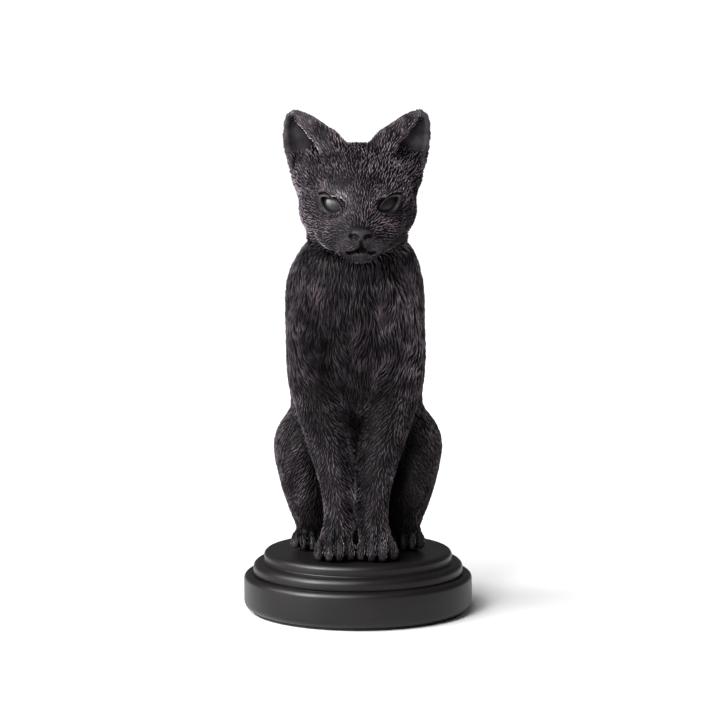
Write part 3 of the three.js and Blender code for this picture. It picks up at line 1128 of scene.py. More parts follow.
    def choice_of(self, locks: Sequence[bpy.types.Object]) -> bpy.types.NodeSocket:
        """The locks as separate instances that a point can pick from.

        Args:
            locks: The locks.

        Returns:
            Their joined instances.
        """
        joined = self.add("GeometryNodeJoinGeometry")
        for lock in locks:
            info = self.add("GeometryNodeObjectInfo", {"Object": lock, "As Instance": True})
            self.give(joined.inputs["Geometry"], info.outputs["Geometry"])
        return joined.outputs["Geometry"]

    def lay(self, skin: bpy.types.Object, pelt: Pelt) -> bpy.types.Object:
        """Lays one pelt over a skin and returns it as a plain mesh.

        Args:
            skin: The skin, with its growth, cover and grow attributes.
            pelt: What to lay.

        Returns:
            The pelt's locks as one object.
        """
        modifier = skin.modifiers.new("fur", "NODES")
        modifier.node_group = self.tree
        for name in ("Spacing", "Length", "Width", "Lift", "Seed"):
            modifier[self.sockets[name]] = getattr(pelt, name.lower())
        skin.update_tag()
        evaluated = skin.evaluated_get(bpy.context.evaluated_depsgraph_get())
        mesh = bpy.data.meshes.new_from_object(evaluated)
        skin.modifiers.remove(modifier)
        return to_object(mesh, pelt.name)


# ---------------------------------------------------------------------------- finishes


class GroupTree(Nodes):
    """A shader node group with named inputs and outputs."""

    def __init__(self, name: str, inputs: dict[str, str], outputs: dict[str, str]) -> None:
        """Starts the group.

        Args:
            name: The group's name.
            inputs: Kind of socket by name.
            outputs: Kind of socket by name.
        """
        super().__init__(bpy.data.node_groups.new(name, "ShaderNodeTree"))
        self.interface("INPUT", inputs)
        self.interface("OUTPUT", outputs)
        self.inputs = self.add("NodeGroupInput").outputs
        self.outputs = self.add("NodeGroupOutput").inputs

    def noise(self, scale: bpy.types.NodeSocket, detail: float) -> bpy.types.NodeSocket:
        """A fractal noise over the object's own coordinates.

        Args:
            scale: Its scale.
            detail: Number of its finer layers.

        Returns:
            The noise, from 0 to 1.
        """
        where = self.add("ShaderNodeTexCoord").outputs["Object"]
        settings = {"Vector": where, "Detail": detail, "Scale": scale}
        return self.add("ShaderNodeTexNoise", settings).outputs["Fac"]

    def mix(
        self, share: bpy.types.NodeSocket, first: object, second: object
    ) -> bpy.types.NodeSocket:
        """Mixes two colours, each a socket or a value.

        Args:
            share: How much of the second.
            first: The first colour.
            second: The second colour.

        Returns:
            The mixed colour.
        """
        made = self.add("ShaderNodeMix", {"Factor": share}, data_type="RGBA")
        for socket, value in zip([s for s in made.inputs if s.type == "RGBA"], (first, second)):
            self.give(socket, value)
        return next(s for s in made.outputs if s.type == "RGBA")


@cache
def fired_clay_group() -> bpy.types.NodeTree:
    """The group that varies a fired ceramic's colour, roughness and skin, made once. In the cat's
    finish its Crest input carries burnish together with painted light and shade.

    Returns:
        A tree with Color, Roughness, Height and Burnish And Painted Light outputs.
    """
    floats = {name: "Float" for name in ("Crest", "Roughness", "Mottle Scale", "Grain Scale")}
    outputs = {"Color": "Color", "Roughness": "Float", "Height": "Float", "Burnish": "Float"}
    group = GroupTree("fired_clay", {"Dark": "Color", "Pale": "Color", **floats}, outputs)
    ports, maths = group.inputs, group.maths
    mottle = group.noise(ports["Mottle Scale"], 4.0)
    # Share of the pale colour: for the cat, burnish with painted light and shade; elsewhere only
    # the mottle's random tone.
    tone_and_painted_light = maths("MULTIPLY", ports["Crest"], maths("ADD", maths("MULTIPLY", mottle, 1.3), 0.27))
    share = group.add("ShaderNodeClamp", {"Value": maths("POWER", tone_and_painted_light, 3.2)}).outputs[0]
    varied = maths("MULTIPLY", maths("SUBTRACT", mottle, 0.5), 0.3)
    rough = maths("ADD", ports["Roughness"], varied)
    group.give(group.outputs["Color"], group.mix(share, ports["Dark"], ports["Pale"]))
    group.give(group.outputs["Roughness"], maths("SUBTRACT", rough, maths("MULTIPLY", share, 0.1)))
    group.give(group.outputs["Height"], group.noise(ports["Grain Scale"], 2.0))
    group.give(group.outputs["Burnish"], share)
    return group.tree


@cache
def combed_lines_group() -> bpy.types.NodeTree:
    """The group that combs fine lines along each lock of fur, made once.

    Returns:
        A tree with a Height output.
    """
    group = GroupTree("combed_lines", {"Lines": "Float"}, {"Height": "Float"})
    where = group.add("ShaderNodeUVMap", uv_map="LockUV").outputs["UV"]
    stretch = group.add("ShaderNodeCombineXYZ", {"X": group.inputs["Lines"], "Y": 1.3}).outputs[0]
    scaled = group.add("ShaderNodeVectorMath", {0: where, 1: stretch}, operation="MULTIPLY")
    settings = {"Scale": 1.0, "Detail": 1.0, "Vector": scaled.outputs[0]}
    noise = group.add("ShaderNodeTexNoise", settings)
    group.give(group.outputs["Height"], noise.outputs["Fac"])
    return group.tree


class Shader(Nodes):
    """A material's node tree round its Principled shader."""

    def __init__(self, name: str) -> None:
        """Starts an empty material with a Principled shader.

        Args:
            name: The material's name.
        """
        self.material = bpy.data.materials.new(name)
        self.material.use_nodes = True
        super().__init__(self.material.node_tree)
        self.principled = self.tree.nodes["Principled BSDF"]

    def feed(self, **values: object) -> None:
        """Gives the Principled shader's inputs a socket or a value each, named without spaces."""
        for key, value in values.items():
            self.give(self.principled.inputs[key.replace("_", " ")], value)

    def group(self, tree: bpy.types.NodeTree, **values: object) -> bpy.types.Node:
        """Places a node group and gives its inputs a socket or a value each, likewise named."""
        inputs = {key.replace("_", " "): value for key, value in values.items()}
        return self.add("ShaderNodeGroup", inputs, node_tree=tree)

    def fire(self, **values: object) -> bpy.types.Node:
        """Makes the shader's colour and roughness those of fired clay.

        Args:
            values: A socket or a value for each input of the fired clay group.

        Returns:
            The placed group.
        """
        clay = self.group(fired_clay_group(), **{"Grain_Scale": 2500.0, **values})
        self.feed(Base_Color=clay.outputs["Color"], Roughness=clay.outputs["Roughness"])
        return clay

    def bump(self, height: bpy.types.NodeSocket, distance: float, strength: float) -> None:
        """Feeds the shader's normal from a height in the same units as distance."""
        inputs = {"Strength": strength, "Distance": distance, "Height": height}
        self.feed(Normal=self.add("ShaderNodeBump", inputs).outputs["Normal"])


@dataclass(frozen=True)
class CatCeramic:
    """Matt charcoal ceramic, paler where its crest attribute is high: burnish on the raised fur,
    with painted shade in grooves, creases and hollows and painted light on the right flank and
    chest.
    """

    dark: tuple[float, float, float, float] = (0.0022, 0.0018, 0.0021, 1)
    pale: tuple[float, float, float, float] = (0.38, 0.322, 0.365, 1)
    roughness: float = 0.55
    gloss: float = 0.07

    @cache
    def material(self) -> bpy.types.Material:
        """Builds the finish once.

        Returns:
            The material.
        """
        shader = Shader("furred_ceramic")
        # The crest attribute carries burnish together with painted light and shade.
        crest = shader.add("ShaderNodeAttribute", attribute_name="crest")
        clay = shader.fire(
            Dark=self.dark,
            Pale=self.pale,
            Crest=crest.outputs["Fac"],
            Roughness=self.roughness,
            Mottle_Scale=150.0,
        )
        lines = shader.group(combed_lines_group(), Lines=7.0)
        height = shader.maths("MULTIPLY_ADD", clay.outputs["Height"], 0.35, lines.outputs["Height"])
        shader.bump(height, 0.00016, 0.8)
        shader.feed(
            Specular_IOR_Level=self.gloss,
            Coat_Weight=clay.outputs["Burnish"],
            Coat_Roughness=0.2,
            Coat_Tint=(1.0, 0.9, 0.98, 1),
        )
        return shader.material


@dataclass(frozen=True)
class EyeGlaze:
    """Smooth satin charcoal."""

    colour: tuple[float, float, float, float] = (0.017, 0.0158, 0.0168, 1)
    roughness: float = 0.34
    gloss: float = 0.26

    @cache
    def material(self) -> bpy.types.Material:
        """Builds the finish once.

        Returns:
            The material.
        """
        shader = Shader("eye_glaze")
        pale = tuple(c * 1.5 for c in self.colour[:3]) + (1.0,)
        clay = shader.fire(
            Dark=self.colour, Pale=pale, Crest=0.6, Roughness=self.roughness, Mottle_Scale=250.0
        )
        shader.bump(clay.outputs["Height"], 0.00002, 0.3)
        shader.feed(Specular_IOR_Level=self.gloss)
        return shader.material


@dataclass(frozen=True)
class PlinthCeramic:
    """Smooth satin charcoal, faintly mottled where it was rubbed down."""

    dark: tuple[float, float, float, float] = (0.0042, 0.0033, 0.0039, 1)
    pale: tuple[float, float, float, float] = (0.0105, 0.0084, 0.0098, 1)
    roughness: float = 0.42
    gloss: float = 0.24

    @cache
    def material(self) -> bpy.types.Material:
        """Builds the finish once.

        Returns:
            The material.
        """
        shader = Shader("turned_ceramic")
        clay = shader.fire(
            Dark=self.dark, Pale=self.pale, Crest=0.7, Roughness=self.roughness, Mottle_Scale=45.0
        )
        shader.bump(clay.outputs["Height"], 0.00004, 0.4)
        shader.feed(Specular_IOR_Level=self.gloss)
        return shader.material


@dataclass(frozen=True)
class PlainFinish:
    """A finish for the felt and for the fixings inside the plinth.

    Attributes:
        name: Name of the material.
        colour: Base colour.
        roughness: Mean roughness.
        metallic: 1 for metal.
        grain: Scale of the noise that varies colour and roughness.
        relief: Height of that noise as bump, in metres.
    """

    name: str
    colour: tuple[float, float, float]
    roughness: float
    metallic: float = 0.0
    grain: float = 900.0
    relief: float = 0.00005

    @cache
    def material(self) -> bpy.types.Material:
        """Builds the finish once.

        Returns:
            The material.
        """
        shader = Shader(self.name)
        clay = shader.fire(
            Dark=tuple(c * 0.75 for c in self.colour) + (1.0,),
            Pale=tuple(min(c * 1.3, 1.0) for c in self.colour) + (1.0,),
            Crest=0.7,
            Roughness=self.roughness,
            Mottle_Scale=self.grain / 4,
            Grain_Scale=self.grain,
        )
        shader.bump(clay.outputs["Height"], self.relief, 0.6)
        shader.feed(Metallic=self.metallic)
        return shader.material


# ---------------------------------------------------------------------------- the cat


def waist(points: np.ndarray) -> np.ndarray:
    """How far the skin draws in where the jaw overhangs the neck.

    Args:
        points: Rows of x, y and z in millimetres.

    Returns:
        A depth for each row, in millimetres.
    """
    joint = above_neck_joint(points) - 0.5
    spread = np.where(joint > 0, 5.5, np.where(points[..., 0] < 0, 9.0, 6.0))
    front = smooth_step(points[..., 1], 14, 2)
    return (1.1 * front * np.exp(-((joint / spread) ** 2))).astype(np.float32)


@dataclass(frozen=True)
class Foot:
    """One kind of foot, of which there are a left and a right one.

    Attributes:
        middles: x of the middle of the left and the right foot.
        apart: Distance between the gaps on either side of a middle toe.
        gap: Stations up a gap: y, z and the share of apart there.
        toes: x from the foot's middle and y of each claw's root, on the left foot.
        claw: z of a claw's root and tip, and how far its tip stands forward.
    """

    middles: tuple[float, float]
    apart: float
    gap: tuple[tuple[float, float, float], ...]
    toes: tuple[tuple[float, float], ...]
    claw: tuple[float, float, float]

    def gaps(self) -> list[list[tuple[float, float, float]]]:
        """Paths along the bottoms of the gaps, from the plinth up over the foot.

        Returns:
            Each path's points, six paths in all.
        """
        return [
            [(middle + share * x, y, z) for y, z, share in self.gap]
            for middle in self.middles
            for x in (-self.apart, 0.0, self.apart)
        ]

    def claws(self) -> list[tuple[tuple[float, float, float], tuple[float, float, float]]]:
        """Root and tip of each claw.

        Returns:
            The two points of each claw.
        """
        root, tip, reach = self.claw
        ends = []
        for middle in self.middles:
            for out, y in self.toes:
                x = middle + math.copysign(1.0, middle) * out
                ends.append(((x, y, root), (x, y - reach, tip)))
        return ends


@dataclass(frozen=True)
class Feet:
    """The gaps between the toes and the claws of all four feet.

    Attributes:
        fore: The forepaws.
        hind: The hind feet.
        seam: Stations of x, y and z up the groove between the forepaws.
        wide: Half width of a gap at its bottom.
        sunk: How deep a gap's axis lies under the skin.
        run_out: Height over which a gap closes at its top.
        claw: A claw's radius at its root and at its tip.
    """

    fore: Foot = Foot(
        (8.5, -10.3),
        4.7,
        ((-38.4, PLINTH_TOP, 1.0), (-36.8, 34, 1.0), (-31.2, 40, 0.85), (-28.6, 46, 0.7)),
        ((-7.0, -35.2), (-2.4, -37.4), (2.4, -37.4), (7.0, -34.8)),
        (31.2, 28.6, 1.5),
    )
    hind: Foot = Foot(
        (22.4, -22.4),
        3.75,
        ((-11.6, PLINTH_TOP, 1.0), (-10.4, 33, 1.0), (-5, 37.5, 0.9), (0, 39.5, 0.8)),
        ((-5.6, -8.6), (-1.9, -11.0), (1.9, -10.6), (5.6, -7.8)),
        (30.8, 28.5, 1.3),
    )
    seam: tuple[tuple[float, float, float], ...] = (
        (-0.9, -39.0, PLINTH_TOP),
        (-0.9, -37.5, 34),
        (-0.9, -32.5, 41),
        (-0.9, -29.5, 49),
    )
    wide: float = 0.72
    sunk: float = 0.4
    run_out: float = 7
    claw: tuple[float, float] = (0.85, 0.35)

    def carve(self, clay: Clay) -> None:
        """Cuts the gaps and adds the claws.

        Args:
            clay: The body's clay.
        """
        for path in [self.seam, *self.fore.gaps(), *self.hind.gaps()]:
            ends = np.array(path)
            block = clay.part(ends.min(0) - (2.2, 5, 0), ends.max(0) + (2.2, 5, 2))
            x, y, z = block.axes()
            beside = x - np.interp(z, ends[:, 2], ends[:, 0]).astype(np.float32)
            top = ends[-1, 2]
            wide = self.wide * smooth_step(z, top + 1, top - self.run_out)
            slot = np.sqrt(beside**2 + (block.depth + self.sunk) ** 2) - wide
            block.cut(np.where(y < ends[:, 1].max(), slot, FAR).astype(np.float32), 0.25)
        for root, tip in self.fore.claws() + self.hind.claws():
            block = clay.part(np.array(tip) - 3, np.array(root) + 3)
            points = block.points().astype(np.float32)
            block.add(to_segment(points, root, tip, self.claw), 0.5)

    def between_toes(self, points: np.ndarray) -> np.ndarray:
        """1 in the gaps between the toes and on the claws, where no fur grows.

        Args:
            points: Rows of x, y and z in millimetres.

        Returns:
            A share from 0 to 1 for each row.
        """
        near = np.full(len(points), FAR)
        for path in [self.seam, *self.fore.gaps(), *self.hind.gaps()]:
            near = np.minimum(near, to_path(points, path))
        for root, tip in self.fore.claws() + self.hind.claws():
            near = np.minimum(near, to_segment(points, root, tip))
        return smooth_step(near, 1.5, 1.0)


# Lumps that fill out the head, mirrored about its middle: centre, half sizes and easing.
HEAD_LUMPS = [
    ((11.5, -20.5, -14.5), (8.5, 8.5, 8.5), 5.0),  # cheek, beside the muzzle
    ((22.0, 0.8, 8), (6.2, 5.2, 10), 4.0),  # side of the skull, under the ear
    ((25, 7.6, 24), (8, 5, 11), 5.0),  # back of the ear
]

# Lumps on the muzzle, likewise.
MUZZLE_LUMPS = [
    ((5.0, -30.4, -19.3), (5.0, 4.6, 4.0), 2.5),  # upper lip
    ((0, -27.6, -24.4), (6.0, 4.4, 2.8), 3.0),  # chin
    ((0, -33.4, -14.6), (4.5, 2.5, 2.3), 1.4),  # nose pad
]

# Cuts in the muzzle's front, mirrored about its middle: the path, how deep its axis is sunk in
# the skin, the radius and the rounding of the edge.
MUZZLE_CUTS = [
    ([(0, -12.2), (2.6, -12.5), (4.4, -13.6), (5.1, -15.4)], 0.0, 0.35, 0.5),  # over the nose pad
    ([(0, -17.6), (2.0, -17.2), (3.9, -16.8), (5.1, -15.4)], 0.0, 0.45, 0.5),  # under the nose pad
    ([(1.7, -16.0), (2.9, -15.3), (4.0, -15.5)], 0.6, 0.9, 0.4),  # nostril
    ([(0, -17.6), (0, -20.4)], 0.2, 0.7, 0.5),  # groove under the nose
    # the mouth
    ([(0, -20.6), (1.5, -21.5), (3.2, -22.5), (4.8, -22.9), (6.0, -22.6)], 0.35, 0.72, 0.3),
    ([(0, -21.1), (1.0, -21.9)], 0.6, 1.15, 0.3),  # parting of the lips
]


SKIN_NOTES = ("growth", "cover", "grow")  # what a skin stores while its coat is laid


@dataclass
class Cat:
    """The cat's head, body and tail with their coat.

    Attributes:
        body_step: Sample distance of the body's clay.
        head_step: Sample distance of the head's clay.
        swell: How far the castings are swelled while they are smoothed.
        fine: Smoothing that tells a skin's creases, which get painted shade, from its ridges, which
            get painted light.
        broad: Smoothing that tells the hollows between limbs, which get painted shade, from the
            swellings.
        threshold: Share of a pelt's region above which its locks grow.
        coat: How the fur grows.
        clays: What the skins were sculpted in, by the skin's name.
        hollow_shade_clays: The same clays broadly smoothed, which place the painted shade in the
            hollows.
    """

    body_step: float = 0.85
    head_step: float = 0.55
    swell: float = 0.2
    fine: float = 1.3
    broad: float = 5.0
    threshold: float = 0.35
    coat: Coat = field(default_factory=Coat)
    clays: dict[str, Clay] = field(default_factory=dict)
    hollow_shade_clays: dict[str, Clay] = field(default_factory=dict)

    def build(self) -> None:
        """Builds the eyes, the skins and the coat."""
        eyes = [Eye(1), Eye(-1)]
        for eye in eyes:
            eye.build()
        skins = {
            "cat_head": self.skin("head_skin", self.head_clay(eyes), bare_skin),
            "cat_body": self.skin("body_skin", self.body_clay()),
            "tail": self.skin("tail_skin", self.tail_clay()),
        }
        ceramic = CatCeramic().material()
        locks = [Lock(bend).build() for bend in Bend]
        tree = FurTree(locks, ceramic)
        for node, pelts in self.pelts().items():
            for pelt in pelts:
                self.lay(tree, skins[node], pelt)
        for lock in locks:
            bpy.data.objects.remove(lock)
        for node, skin in skins.items():
            forget(skin.data, *SKIN_NOTES)
            settle(skin, ceramic, Slot.CAT, node)

    def skin(
        self,
        name: str,
        clay: Clay,
        smooth: Callable[[np.ndarray, np.ndarray], np.ndarray] | None = None,
    ) -> bpy.types.Object:
        """Makes a skin of clay and stores its crest share, which is paler on ridges and bare skin
        and darker in creases and on the feet; the ridges and creases are painted light and shade.

        Args:
            name: The piece's name.
            clay: What it is sculpted in.
            smooth: Where the skin is bare and smooth, from its points' places and normals.

        Returns:
            The skin.
        """
        mesh = clay.mesh(name)
        self.clays[name] = clay
        self.hollow_shade_clays[name] = clay.softened(self.broad)
        points, normals = vertex_rows(mesh)
        bare = smooth(points, normals) if smooth else np.zeros(len(points))
        bare = bare * (0.35 + 0.65 * smooth_step(head_from_world(points)[:, 2], -20, -17))
        # Through relief the creases get painted shade and the ridges painted light.
        relief = np.clip(clay.softened(self.fine).at(points) / 0.35, -1, 1)
        crest = np.clip(0.12 + 0.3 * bare + (0.5 - 0.38 * bare) * relief, 0, 1)
        store(mesh, "crest", crest * (1 - 0.28 * is_foot(points)))
        return to_object(mesh, name)

    def head_clay(self, eyes: Sequence[Eye]) -> Clay:
        """Sculpts the head from its casting.

        Args:
            eyes: The eyes, whose sockets and lids it gets.

        Returns:
            The clay.
        """
        clay = Clay.cast(["cat_head", "cat_body"], (-42, -50, 142), (38, 32, 232), self.head_step)
        clay.fill_hollow()
        clay.depth -= self.swell
        rows = head_from_world(clay.points())
        ear = smooth_step(np.abs(rows[..., 0]) + 0.9 * rows[..., 2], 27, 33)
        muzzle = smooth_step(rows[..., 1], -20, -27)
        self.round_face(clay, rows)
        clay.smooth(0.9, 1 - 0.7 * ear)
        clay.smooth(1.7, (1 - ear) * (1 - 0.6 * muzzle))
        clay.depth += self.swell
        clay.depth += waist(clay.points())
        for eye in eyes:
            eye.sculpt(clay)
        self.carve_muzzle(clay)
        joint = above_neck_joint(clay.points()).astype(np.float32)
        np.maximum(clay.depth, -joint, out=clay.depth)
        return clay

    def round_face(self, clay: Clay, rows: np.ndarray) -> None:
        """Fills the cheeks, rolls the ears' rims and builds the ridges that run up into them.

        Args:
            clay: The head's clay.
            rows: Its samples in the head's own frame.
        """
        half = rows.astype(np.float32)
        half[..., 0] = np.abs(half[..., 0])
        for centre, size, ease in HEAD_LUMPS:
            clay.add(ellipsoid(half, centre, size), ease)
        for form in EAR_FORMS:
            for (start, big), (end, small) in zip(form, form[1:]):
                clay.add(to_segment(half, start, end, (big, small)), 1.6)

    def carve_muzzle(self, clay: Clay) -> None:
        """Shapes the lips and the chin, and carves the nose, the nostrils and the mouth.

        Args:
            clay: The head's clay.
        """
        block = clay.part(HEAD_CENTRE + (-16, -38, -32), HEAD_CENTRE + (16, -14, 0))
        half = head_from_world(block.points()).astype(np.float32)
        half[..., 0] = np.abs(half[..., 0])
        behind = np.where(half[..., 1] < -20, 0, FAR)
        for centre, size, ease in MUZZLE_LUMPS:
            block.add(ellipsoid(half, centre, size), ease)
        skin = block.depth.copy()
        for path, sunk, radius, ease in MUZZLE_CUTS:
            near = to_path(half[..., [0, 2]], path)
            block.cut(np.sqrt(near**2 + (skin + sunk) ** 2) - radius + behind, ease)

    def body_clay(self) -> Clay:
        """Sculpts the body from its casting.

        Returns:
            The clay.
        """
        clay = Clay.cast(["cat_body", "cat_head"], (-44, -42, 22), (44, 42, 184), self.body_step)
        clay.fill_hollow()
        clay.depth -= self.swell
        _, y, z = clay.axes()
        paws = smooth_step(z, 44, 37) * smooth_step(-y, -6, 2)
        clay.smooth(0.7)
        clay.smooth(2.6, 1 - 0.97 * paws)
        clay.depth += self.swell + 0.45 * (1 - paws)
        clay.depth += waist(clay.points())
        Feet().carve(clay)
        joint = above_neck_joint(clay.points()).astype(np.float32)
        tucked = clay.depth + 0.3 * smooth_step(joint, -0.3, 0.9)
        clay.depth = np.maximum(tucked, joint - 2.0).astype(np.float32)
        clay.clear_plinth()
        return clay

    def tail_clay(self) -> Clay:
        """Sculpts the tail from its casting.

        Returns:
            The clay.
        """
        clay = Clay.cast(["tail"], (-16, 12, 22), (36, 48, 64), self.head_step * 1.3)
        clay.smooth(1.0)
        clay.clear_plinth()
        return clay

    def pelts(self) -> dict[str, list[Pelt]]:
        """The stretches of coat, by the CAD node that their skin stands for.

        Returns:
            The pelts of each skin, in the order in which they are laid.
        """
        return {
            "cat_head": [
                Pelt("fur_face", 0.8, 2.8, 0.7, 0.42, on_face, 3),
                Pelt("fur_head", 0.98, 4.0, 0.9, 0.56, on_head, 4),
            ],
            "cat_body": [
                Pelt("fur_ruff", 1.08, 8.5, 1.0, 1.0, on_ruff, 5),
                Pelt("fur_back", 1.4, 6.4, 1.4, 0.8, on_back, 6),
                Pelt("fur_haunches", 1.1, 4.6, 1.1, 0.65, on_haunches, 7),
                Pelt("fur_forelegs", 1.0, 4.2, 0.95, 0.6, on_forelegs, 8),
                Pelt("fur_paws", 0.85, 2.6, 0.5, 0.3, on_paws, 9),
            ],
            "tail": [Pelt("fur_tail", 1.2, 5.0, 1.2, 0.65, on_tail, 10)],
        }

    def lay(self, tree: FurTree, skin: bpy.types.Object, pelt: Pelt) -> None:
        """Lays one pelt on a skin and bends its locks to the skin's shape.

        Args:
            tree: What lays the locks.
            skin: The skin to lay them on.
            pelt: What to lay.
        """
        points, normals = vertex_rows(skin.data)
        share = np.clip(pelt.region(points, normals), 0, 1)
        growth = self.coat.growth(points, normals)
        clay = self.clays[skin.name]
        rise = clay.at(points + growth * pelt.length) / pelt.length
        trimmed = 1 - 0.45 * smooth_step(np.abs(rise), 0.2, 0.6)
        trimmed = trimmed * (1 - 0.4 * smooth_step(points[:, 2], 212, 221))
        store(skin.data, "growth", growth)
        store(skin.data, "cover", (share > self.threshold).astype(float))
        store(skin.data, "grow", (0.55 + 0.45 * share) * trimmed)
        made = tree.lay(skin, pelt)
        laid, _ = vertex_rows(made.data)
        laid = clay.drape(laid, take(made.data, "height") * take(made.data, "raise"))
        laid[:, 2] = np.maximum(laid[:, 2], PLINTH_TOP + 0.05)
        made.data.vertices.foreach_set("co", (laid * MM).ravel())
        # Painted shade: crests darkened in the hollows between limbs, less so on the head, then
        # scaled by burnish_and_painted_light.
        least = 0.35 + 0.5 * smooth_step(laid[:, 2], 164, 174)
        clear_of_hollows = smooth_step(self.hollow_shade_clays[skin.name].at(laid), -2.2, 0.4)
        painted_hollow_shade = least + (1 - least) * clear_of_hollows
        store(made.data, "crest", take(made.data, "crest") * burnish_and_painted_light(laid) * painted_hollow_shade)
        forget(made.data, "height", "raise", *SKIN_NOTES)
        settle(made, None, Slot.CAT)


def burnish_and_painted_light(points: np.ndarray) -> np.ndarray:
    """How far the crests are made paler: burnish, with painted light and shade.

    It is highest on the head, lowest on the lower body and a little higher at the front. The
    insides of the haunches beside the forelegs get painted shade, and the right legs and a band
    from the right shoulder down over the chest get painted light.

    Args:
        points: Rows of x, y and z in millimetres.

    Returns:
        A factor for each row's crest.
    """
    x, y, z = points.T
    front = smooth_step(y, 16, -4)
    # Painted shade on the insides of the haunches beside the forelegs.
    inner = smooth_step(np.abs(x), 28, 19) * smooth_step(y, -16, -9) * smooth_step(z, 96, 82)
    heights = [PLINTH_TOP, 42, 60, 105, 135, 165, 178]
    low = np.interp(z, heights, [0.86, 0.82, 0.78, 0.71, 0.77, 0.84, 1.03])
    # Painted light on the right legs.
    right_flank_light = smooth_step(x, -2, -11) * smooth_step(z, 112, 96) * smooth_step(z, 34, 42)
    # Painted highlight on a band from the right shoulder down over the chest.
    along = np.clip((156 - z) / 28, 0, 1)
    breast_highlight = np.exp(-(((x + 24 - 23 * along) / 6) ** 2))
    breast_highlight = breast_highlight * smooth_step(z, 124, 132) * smooth_step(z, 158, 152)
    painted_light_gain = 1 + 0.19 * right_flank_light + 0.2 * breast_highlight * smooth_step(y, 4, -4)
    return low * (0.82 + 0.18 * front) * (1 - 0.65 * inner) * painted_light_gain


def bare_skin(points: np.ndarray, normals: np.ndarray) -> np.ndarray:
    """1 where the head is smooth: lids and eyes, nose pad, lips and the inside of the ears.

    Args:
        points: Rows of x, y and z in millimetres.
        normals: The skin's normals there.

    Returns:
        A share from 0 to 1 for each row.
    """
    rows = head_from_world(points)
    inner = turned(normals, -HEAD_TURN, 2)
    bare = np.zeros(len(points))
    for side in (1, -1):
        eye = Eye(side)
        local = eye.local(rows)
        near = (local[:, 2] > -4) & (rows[:, 0] * side > 0)
        bare = np.maximum(bare, np.where(near, smooth_step(eye.almond(local), 2.2, 1.5), 0))
        out, up = rows[:, 0] * side, rows[:, 2]
        under_ridge = smooth_step(21 + 0.964 * (out - 16) - up, 0.6, 1.8)
        over_tuft = smooth_step(up - 20.5 + 0.2 * (out - 16), -0.8, 0.8)
        facing = smooth_step(-inner[:, 1], -0.1, 0.15)
        bare = np.maximum(bare, np.where(out > 12, facing * under_ridge * over_tuft, 0))
    nose = np.hypot(rows[:, 0] / 5.0, (rows[:, 2] + 15.4) / 3.4)
    bare = np.maximum(bare, np.where(rows[:, 1] < -28, smooth_step(nose, 1.15, 0.9), 0))
    face = np.stack([np.abs(rows[:, 0]), rows[:, 2]], 1)
    lips = to_path(face, [(0, -17.5), (0, -20.6), (3.4, -22.5), (7.2, -22.6)])
    return np.maximum(bare, np.where(rows[:, 1] < -20, smooth_step(lips, 1.3, 0.8), 0))


def off_plinth(points: np.ndarray) -> np.ndarray:
    """0 at the plinth and 1 just above it."""
    return smooth_step(points[:, 2], PLINTH_TOP + 0.6, PLINTH_TOP + 1.6)


def on_furred_head(
    points: np.ndarray, normals: np.ndarray, none: float, full: float
) -> np.ndarray:
    """Share of the head's coat, easing between two sizes of a ball about the muzzle.

    Args:
        points: Rows of x, y and z in millimetres.
        normals: The skin's normals there.
        none: Size of the ball at which the share is 0.
        full: Size at which it is 1.

    Returns:
        A share from 0 to 1 for each row.
    """
    away = (head_from_world(points) - (0, -27, -9)) / (18, 13, 17)
    near = smooth_step(np.linalg.norm(away, axis=1), none, full)
    above = smooth_step(above_neck_joint(points), -0.5, 1.0)
    return near * (1 - bare_skin(points, normals)) * above


def on_face(points: np.ndarray, normals: np.ndarray) -> np.ndarray:
    """The short coat of the bridge, muzzle, chin and round the eyes."""
    return on_furred_head(points, normals, 1.1, 0.9)


def on_head(points: np.ndarray, normals: np.ndarray) -> np.ndarray:
    """The coat of the skull, the cheeks, the ears' backs and the upper neck."""
    return on_furred_head(points, normals, 0.9, 1.1)


def on_paws(points: np.ndarray, normals: np.ndarray) -> np.ndarray:
    """The short coat of all four feet.

    Args:
        points: Rows of x, y and z in millimetres.
        normals: The skin's normals there.

    Returns:
        A share from 0 to 1 for each row.
    """
    clear = off_plinth(points) * smooth_step(normals[:, 2], -0.8, -0.5)
    low = smooth_step(points[:, 2], 30.5, 33)
    return is_foot(points) * clear * (1 - Feet().between_toes(points)) * low


def is_foot(points: np.ndarray) -> np.ndarray:
    """1 on all four feet."""
    return smooth_step(points[:, 2], 42, 39) * smooth_step(points[:, 1], 10, 6)


def on_haunches(points: np.ndarray, normals: np.ndarray) -> np.ndarray:
    """The coat of the thighs and the rump beside them.

    Args:
        points: Rows of x, y and z in millimetres.
        normals: The skin's normals there; not used.

    Returns:
        A share from 0 to 1 for each row.
    """
    x, y, z = points.T
    side = smooth_step(np.abs(x), 15, 19) * smooth_step(y, -10, -6) * smooth_step(z, 96, 92)
    return side * (1 - is_foot(points)) * off_plinth(points)


def on_forelegs(points: np.ndarray, normals: np.ndarray) -> np.ndarray:
    """The coat of the forelegs up to the chest."""
    low = smooth_step(points[:, 2], 105, 98) * smooth_step(points[:, 1], 6, 2)
    return low * (1 - is_foot(points)) * (1 - on_haunches(points, normals))


def on_ruff(points: np.ndarray, normals: np.ndarray) -> np.ndarray:
    """The long coat of the chest, throat and shoulders.

    Args:
        points: Rows of x, y and z in millimetres.
        normals: The skin's normals there; not used.

    Returns:
        A share from 0 to 1 for each row.
    """
    front = smooth_step(points[:, 1], 7, 3) * smooth_step(points[:, 2], 91, 118)
    joint = above_neck_joint(points)
    return front * smooth_step(joint, 2.2, 1.6) * (0.4 + 0.6 * smooth_step(joint, 0, -14))


